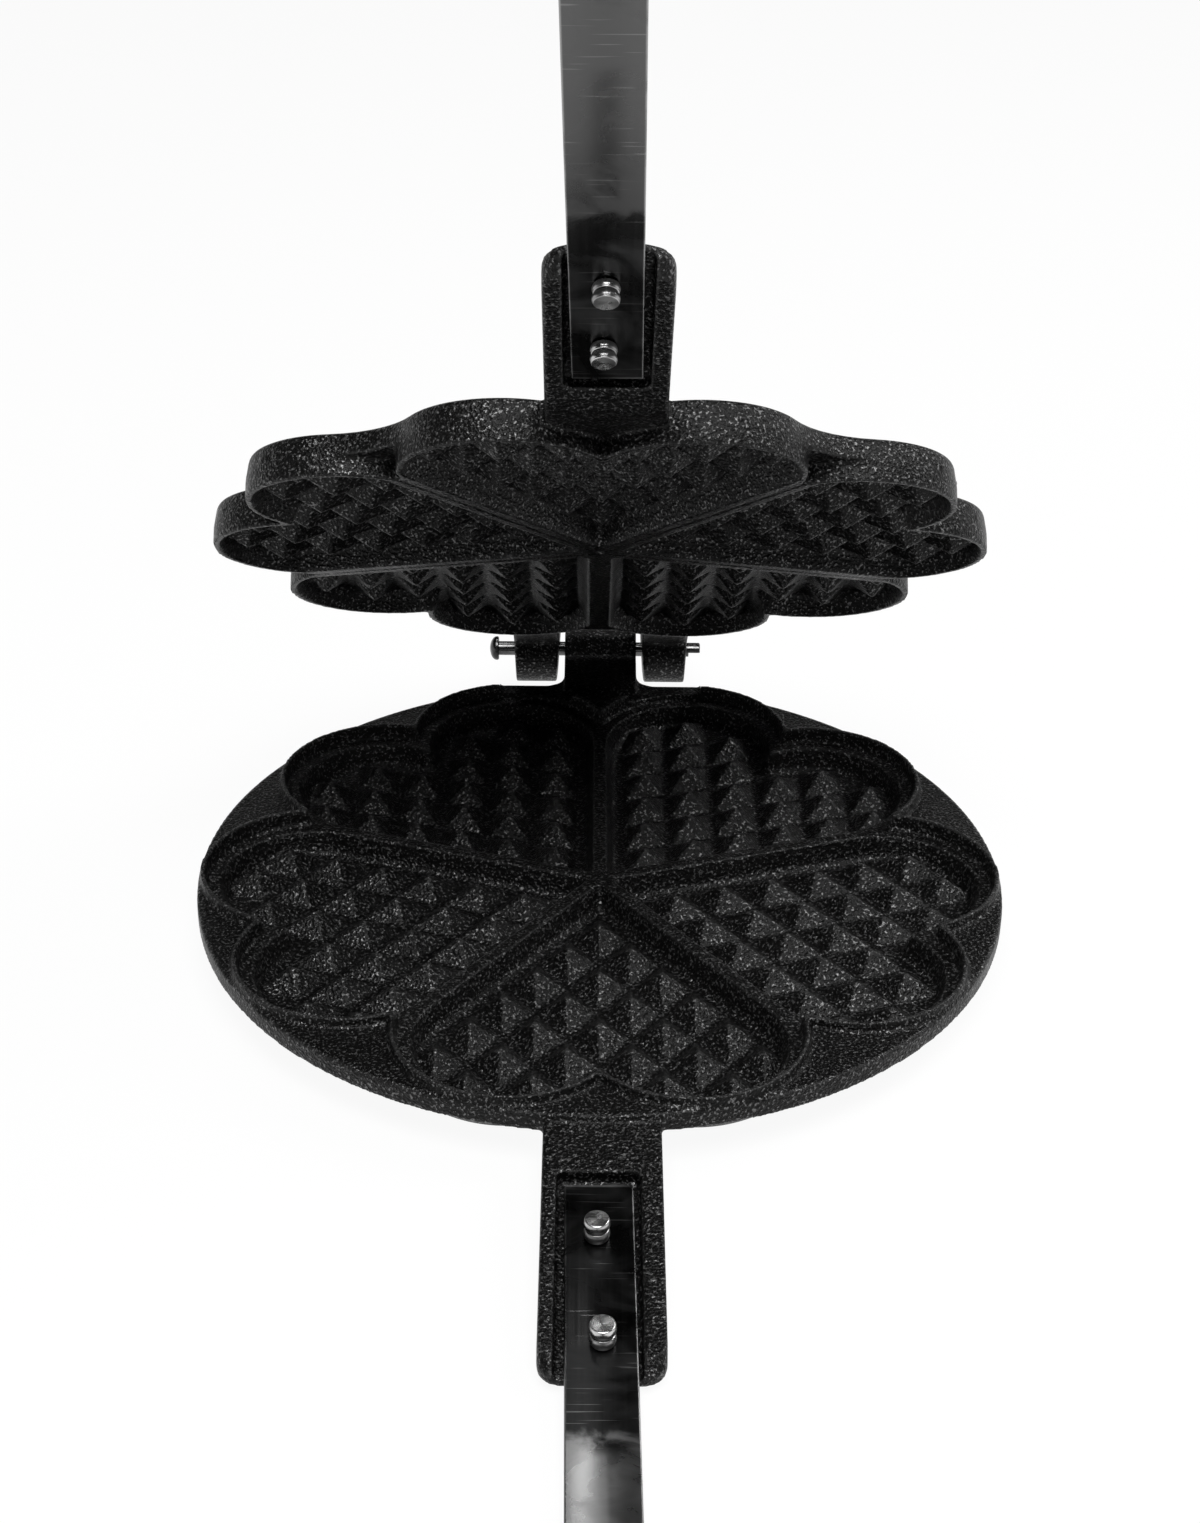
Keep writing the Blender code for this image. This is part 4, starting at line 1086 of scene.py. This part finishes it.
def wear_group() -> bpy.types.NodeTree:
    """Edge wear: high where the surface turns outwards sharply, broken up by a fine noise."""
    nodes, given, out = new_group(
        "edge_wear",
        {
            "Vector": ("NodeSocketVector", None),
            "From": ("NodeSocketFloat", 0.52),
            "To": ("NodeSocketFloat", 0.60),
            "Grains": ("NodeSocketFloat", 700.0),
        },
        {"Edge": "NodeSocketFloat", "Hollow": "NodeSocketFloat"},
    )
    point = nodes.add("ShaderNodeNewGeometry").outputs["Pointiness"]
    noise = nodes.add("ShaderNodeTexNoise", Vector=given.outputs["Vector"], Scale=given.outputs["Grains"], Detail=2.0)
    edge = nodes.add("ShaderNodeMapRange", i0=point, i1=given.outputs["From"], i2=given.outputs["To"])
    broken = nodes.math("MULTIPLY", edge.outputs[0], nodes.band(noise.outputs[0], 0.3, 0.6, 0.35, 1.0), True)
    nodes.tree.links.new(broken, out.inputs["Edge"])
    nodes.tree.links.new(nodes.band(point, 0.40, 0.49, 1.0, 0.0), out.inputs["Hollow"])
    return nodes.tree


def smear_group() -> bpy.types.NodeTree:
    """Rolled steel: long faint streaks along the bar, cloudy patches and a few thin scratches."""
    nodes, given, out = new_group(
        "rolled_steel",
        {"Vector": ("NodeSocketVector", None)},
        {"Cloud": "NodeSocketFloat", "Streak": "NodeSocketFloat", "Scratch": "NodeSocketFloat"},
    )
    vector = given.outputs["Vector"]
    cloud = nodes.add("ShaderNodeTexNoise", Vector=vector, Scale=55.0, Detail=5.0, Roughness=0.55, Distortion=0.8)
    nodes.tree.links.new(nodes.band(cloud.outputs[0], 0.34, 0.66, 0.0, 1.0), out.inputs["Cloud"])
    across = nodes.add("ShaderNodeMapping", Vector=vector, Scale=(900.0, 14.0, 14.0))
    streak = nodes.add("ShaderNodeTexNoise", Vector=across.outputs[0], Scale=1.0, Detail=3.0, Roughness=0.6)
    nodes.tree.links.new(streak.outputs[0], out.inputs["Streak"])
    slant = nodes.add("ShaderNodeMapping", Vector=vector, Rotation=(0.0, 0.0, 0.35), Scale=(60.0, 2200.0, 60.0))
    scratch = nodes.add("ShaderNodeTexNoise", Vector=slant.outputs[0], Scale=1.0, Detail=1.0)
    nodes.tree.links.new(nodes.band(scratch.outputs[0], 0.68, 0.74, 0.0, 1.0), out.inputs["Scratch"])
    return nodes.tree


def place_group(nodes: Nodes, tree: bpy.types.NodeTree, **inputs: Any) -> bpy.types.Node:
    """Places a node group and sets its inputs."""
    return nodes.add("ShaderNodeGroup", {"node_tree": tree}, **inputs)


def new_material(name: str) -> tuple[bpy.types.Material, Nodes, bpy.types.Node, bpy.types.NodeSocket]:
    """Starts a material.

    Args:
        name: Its name.

    Returns:
        The material, its nodes, its Principled shader and the object coordinates.
    """
    made = bpy.data.materials.new(name)
    made.use_nodes = True
    nodes = Nodes(made.node_tree)
    shader = made.node_tree.nodes["Principled BSDF"]
    vector = nodes.add("ShaderNodeTexCoord").outputs["Object"]
    return made, nodes, shader, vector


@dataclass(frozen=True)
class BlackIron:
    """Bare sand-cast iron, nearly black, with a grainy skin that glints and paler worn edges."""

    dark: float = 0.0012
    light: float = 0.0030
    worn: float = 0.07
    grains: float = 1250.0
    bump_depth: float = 0.0005
    rough_low: float = 0.34
    rough_high: float = 0.42
    glint: float = 0.9
    spark: float = 0.15

    def make(self, grain: bpy.types.NodeTree, wear: bpy.types.NodeTree) -> bpy.types.Material:
        """Builds the material from the shared groups."""
        made, nodes, shader, vector = new_material("black_cast_iron")
        sand = place_group(nodes, grain, Vector=vector, Grains=self.grains)
        edges = place_group(nodes, wear, Vector=vector)
        colour = nodes.blend(sand.outputs["Patch"], grey(self.dark, 0.02), grey(self.light, 0.03))
        colour = nodes.blend(sand.outputs["Speck"], colour, grey(self.spark))
        colour = nodes.blend(edges.outputs["Edge"], colour, grey(self.worn))
        nodes.tree.links.new(colour, shader.inputs["Base Color"])
        rough = nodes.band(sand.outputs["Patch"], 0.0, 1.0, self.rough_high, self.rough_low)
        rough = nodes.math("SUBTRACT", rough, nodes.math("MULTIPLY", edges.outputs["Edge"], 0.08))
        nodes.tree.links.new(rough, shader.inputs["Roughness"])
        bump = nodes.add("ShaderNodeBump", Strength=0.85, Distance=self.bump_depth, Height=sand.outputs["Height"])
        nodes.tree.links.new(bump.outputs[0], shader.inputs["Normal"])
        glint = nodes.math("MAXIMUM", sand.outputs["Speck"], edges.outputs["Edge"])
        glint = nodes.math("MULTIPLY", glint, self.glint)
        nodes.tree.links.new(glint, shader.inputs["Metallic"])
        shader.inputs["Specular IOR Level"].default_value = 0.16
        return made


@dataclass(frozen=True)
class DarkStrap:
    """Dark rolled steel bar: satin, cloudy, with pale edges, and a painted reflection: paler past a set length along
    it, beyond its lug.

    After its name, the fields are where the bar starts, where the painted reflection starts, how far across that
    reaches as a share of half the width, and the painted reflection's colour.
    """

    name: str
    start: float
    painted_reflection: float
    side: float
    reflection_tone: float
    dark: float = 0.020
    light: float = 0.065
    rubbed: float = 0.35

    def make(self, smear: bpy.types.NodeTree) -> bpy.types.Material:
        """Builds the material from the shared group."""
        made, nodes, shader, vector = new_material(self.name)
        marks = place_group(nodes, smear, Vector=vector)
        colour = nodes.blend(marks.outputs["Cloud"], grey(self.dark), grey(self.light, -0.01))
        streak = nodes.band(marks.outputs["Streak"], 0.35, 0.7, 0.0, 0.35)
        colour = nodes.blend(streak, colour, grey(self.light))
        along = nodes.add("ShaderNodeAttribute", {"attribute_name": "along"}).outputs["Fac"]
        across = nodes.add("ShaderNodeAttribute", {"attribute_name": "across"}).outputs["Fac"]
        # Painted reflection: from a set length along the bar, over a share of its width and in cloudy patches, the
        # colour turns paler to stand in for a lamp's reflection.
        ragged = nodes.math("ADD", along, nodes.math("MULTIPLY", marks.outputs["Cloud"], 0.006))
        painted_reflection = nodes.band(ragged, self.painted_reflection, self.painted_reflection + 0.005, 0.0, 1.0)
        sided = nodes.band(across, self.side - 0.08, self.side + 0.08, 1.0, 0.7)
        painted_reflection = nodes.math("MULTIPLY", painted_reflection, sided)
        painted_reflection = nodes.math("MULTIPLY", painted_reflection, nodes.band(marks.outputs["Cloud"], 0.0, 1.0, 0.75, 1.0))
        colour = nodes.blend(painted_reflection, colour, grey(self.reflection_tone))
        colour = nodes.blend(nodes.math("MULTIPLY", marks.outputs["Scratch"], 0.35), colour, grey(self.rubbed))
        sides = nodes.band(nodes.math("ABSOLUTE", across), 0.93, 0.985, 0.0, 1.0)
        end = nodes.band(along, self.start + 0.0003, self.start + 0.0009, 1.0, 0.0)
        edge = nodes.math("MULTIPLY", nodes.math("MAXIMUM", sides, end), nodes.band(marks.outputs["Cloud"], 0.0, 0.7, 0.4, 1.0))
        colour = nodes.blend(edge, colour, grey(self.rubbed))
        nodes.tree.links.new(colour, shader.inputs["Base Color"])
        rough = nodes.band(marks.outputs["Cloud"], 0.0, 1.0, 0.26, 0.4)
        nodes.tree.links.new(rough, shader.inputs["Roughness"])
        bump = nodes.add("ShaderNodeBump", Strength=0.25, Distance=0.00002, Height=marks.outputs["Streak"])
        nodes.tree.links.new(bump.outputs[0], shader.inputs["Normal"])
        shader.inputs["Metallic"].default_value = 1.0
        return made


@dataclass(frozen=True)
class BrightSteel:
    """Turned steel of the rivets and the pin, with fine marks and duller patches."""

    name: str
    dull: float = 0.30
    bright: float = 0.66

    def make(self, grain: bpy.types.NodeTree) -> bpy.types.Material:
        """Builds the material from the shared group."""
        made, nodes, shader, vector = new_material(self.name)
        marks = place_group(nodes, grain, Vector=vector, Grains=2600.0)
        colour = nodes.blend(marks.outputs["Patch"], grey(self.dull), grey(self.bright))
        nodes.tree.links.new(colour, shader.inputs["Base Color"])
        rough = nodes.band(marks.outputs["Patch"], 0.0, 1.0, 0.34, 0.2)
        nodes.tree.links.new(rough, shader.inputs["Roughness"])
        bump = nodes.add("ShaderNodeBump", Strength=0.3, Distance=0.00003, Height=marks.outputs["Height"])
        nodes.tree.links.new(bump.outputs[0], shader.inputs["Normal"])
        shader.inputs["Metallic"].default_value = 1.0
        return made


# Studio


@dataclass(frozen=True)
class Softbox:
    """A soft square lamp that faces the iron."""

    name: str
    azimuth: float
    elevation: float
    distance: float
    size: float
    power: float
    target: tuple[float, float, float] = (0.0, 0.0, 0.06)

    def make(self) -> None:
        """Hangs the lamp: its place is the target plus distance times its direction."""
        lamp = bpy.data.lights.new(self.name, "AREA")
        lamp.size = self.size
        lamp.energy = self.power
        obj = bpy.data.objects.new(self.name, lamp)
        bpy.context.scene.collection.objects.link(obj)
        az, el = math.radians(self.azimuth), math.radians(self.elevation)
        way = np.array((math.cos(az) * math.cos(el), math.sin(az) * math.cos(el), math.sin(el)))
        place = np.asarray(self.target) + way * self.distance
        turn = Matrix.Rotation(az + math.pi / 2, 4, "Z") @ Matrix.Rotation(math.pi / 2 - el, 4, "X")
        obj.matrix_world = Matrix.Translation(place) @ turn
        obj.visible_camera = False


@dataclass(frozen=True)
class Studio:
    """The pale floor, the soft lamps, the world and the camera."""

    floor_half: float = 12.0
    world_low: float = 0.85
    world_high: float = 0.012
    lamps: tuple[Softbox, ...] = (
        Softbox("top", 274.0, 66.0, 1.4, 0.9, 25.0),
        Softbox("right", 22.0, 38.0, 1.5, 0.7, 11.0),
        Softbox("rear", 98.0, 52.0, 1.4, 0.24, 1.2, (0.0, -0.24, 0.01)),
    )

    def floor(self) -> None:
        """Lays the floor: pale and diffuse, and partly self-lit to camera and mirror rays, so that it looks white."""
        half = self.floor_half
        corners = [(-half, -half, 0.0), (half, -half, 0.0), (half, half, 0.0), (-half, half, 0.0)]
        mesh = bpy.data.meshes.new("floor")
        mesh.from_pydata(corners, [], [(0, 1, 2, 3)])
        floor = object_of("floor", mesh)
        made = bpy.data.materials.new("pale_floor")
        made.use_nodes = True
        nodes = Nodes(made.node_tree)
        made.node_tree.nodes.remove(made.node_tree.nodes["Principled BSDF"])
        plain = nodes.add("ShaderNodeBsdfDiffuse", Color=grey(0.8))
        glow = nodes.add("ShaderNodeEmission", Color=grey(1.0), Strength=1.0)
        path = nodes.add("ShaderNodeLightPath")
        seen = nodes.math("ADD", path.outputs["Is Camera Ray"], path.outputs["Is Glossy Ray"], True)
        seen = nodes.math("ADD", seen, path.outputs["Is Transmission Ray"], True)
        amount = nodes.math("MULTIPLY", seen, 0.93)
        mix = nodes.add("ShaderNodeMixShader", i0=amount, i1=plain.outputs[0], i2=glow.outputs[0])
        out = made.node_tree.nodes["Material Output"]
        made.node_tree.links.new(mix.outputs[0], out.inputs["Surface"])
        mesh.materials.append(made)

    def world(self) -> None:
        """Lights the room: pale round the horizon and a quiet grey overhead."""
        world = bpy.data.worlds.new("studio")
        bpy.context.scene.world = world
        world.use_nodes = True
        nodes = Nodes(world.node_tree)
        ground = world.node_tree.nodes["Background"]
        way = nodes.add("ShaderNodeTexCoord").outputs["Generated"]
        height = nodes.add("ShaderNodeSeparateXYZ", Vector=way).outputs["Z"]
        amount = nodes.band(height, 0.04, 0.22, 0.0, 1.0)
        colour = nodes.blend(amount, grey(self.world_low), grey(self.world_high))
        world.node_tree.links.new(colour, ground.inputs["Color"])

    def camera(self) -> None:
        """Stands the camera where the photograph was taken from: turned by azimuth, elevation and roll."""
        lift_, azimuth, roll = (math.radians(angle) for angle in (29.668, -0.274, 0.647))
        ce, se, ca, sa = math.cos(lift_), math.sin(lift_), math.cos(azimuth), math.sin(azimuth)
        back = np.array((sa * ce, -ca * ce, se))
        right = np.array((ca, sa, 0.0))
        up = np.cross(back, right)
        cr, sr = math.cos(roll), math.sin(roll)
        right, up = cr * right + sr * up, cr * up - sr * right
        place = np.array((-0.000356, 0.0, 0.05209)) + back * 0.709993
        rows = np.eye(4)
        rows[:3, 0], rows[:3, 1], rows[:3, 2], rows[:3, 3] = right, up, back, place
        data = bpy.data.cameras.new("camera")
        data.lens = 59.49
        data.sensor_width = 36.0
        data.clip_start = 0.01
        data.clip_end = 100.0
        camera = bpy.data.objects.new("camera", data)
        bpy.context.scene.collection.objects.link(camera)
        camera.matrix_world = Matrix(rows.tolist())
        bpy.context.scene.camera = camera

    def make(self) -> None:
        """Sets up everything that isn't the iron."""
        bpy.context.scene.view_settings.view_transform = "Standard"
        self.floor()
        self.world()
        self.camera()
        for lamp in self.lamps:
            lamp.make()


@dataclass
class WaffleIron:
    """The whole iron."""

    hinge: Hinge = field(default_factory=Hinge)
    moulds: Moulds = field(default_factory=Moulds)

    def lower_lug(self) -> Lug:
        """The bottom plate's lug, whose channel looks up."""
        frame_ = Matrix.Translation((0.0007, -0.115, 0.0142)) @ Matrix.Rotation(math.radians(4.5), 4, "X")
        rivets = ((-0.0013, 0.0400), (0.0001, 0.0731))
        return Lug(frame_, 0.0817, math.radians(4.5), 0.0090, 0.0180, -0.0009, rivets)

    def upper_lug(self) -> Lug:
        """The lid's lug, whose channel looks down when the lid is closed."""
        lean = Matrix.Rotation(math.radians(-12.0), 4, "X") @ Matrix.Rotation(math.pi, 4, "Y")
        frame_ = Matrix.Translation((0.0, -0.2508, 0.0018)) @ lean
        rivets = ((0.0009, 0.0295), (0.0006, 0.0548))
        corners = {"tip_fillet": 0.0085, "barrel_height": 0.0022}
        return Lug(frame_, 0.0633, math.radians(12.0), 0.0065, 0.0106, 0.0, rivets, **corners)

    def straps(self, low: Lug, high: Lug) -> list[Strap]:
        """The two handles."""
        turn = math.radians
        return [
            Strap("lower_handle", Part.BASE, low, 0.0223, 0.0950, 0.0450, turn(-5.5), -0.0011, turn(0.7)),
            Strap("upper_handle", Part.LID, high, 0.0146, 0.0633, 0.0700, turn(4.0), -0.0003, turn(0.9)),
        ]

    def make(self) -> None:
        """Builds and dresses every piece."""
        grain, wear, smear = grain_group(), wear_group(), smear_group()
        iron = BlackIron().make(grain, wear)
        dark = {
            Part.BASE: DarkStrap("rolled_steel_lower", 0.0223, 0.102, 0.12, 0.34, 0.010, 0.040).make(smear),
            Part.LID: DarkStrap("rolled_steel_upper", 0.0146, 0.080, 2.0, 0.130, 0.030, 0.080).make(smear),
        }
        bright = BrightSteel("bright_turned_steel").make(grain)
        low, high = self.lower_lug(), self.upper_lug()
        plate = BottomPlate(self.hinge, self.moulds, low)
        plate.make(iron)
        Lid(self.hinge, self.moulds, high, plate.flower).make(iron)
        self.hinge.make(BrightSteel("dark_pin_steel", 0.04, 0.14).make(grain))
        for strap in self.straps(low, high):
            place = Matrix.Identity(4) if strap.part is Part.BASE else self.hinge.lid_place()
            strap.make(dark[strap.part], place)
            for label, (aside, out) in zip(("inner", "outer"), strap.lug.rivets):
                Rivet(label, strap, aside, out).make(bright, place)


def main() -> None:
    """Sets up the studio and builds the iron."""
    logging.basicConfig(level=logging.INFO, format="%(name)s: %(message)s")
    Studio().make()
    WaffleIron().make()


if __name__ == "__main__":
    main()
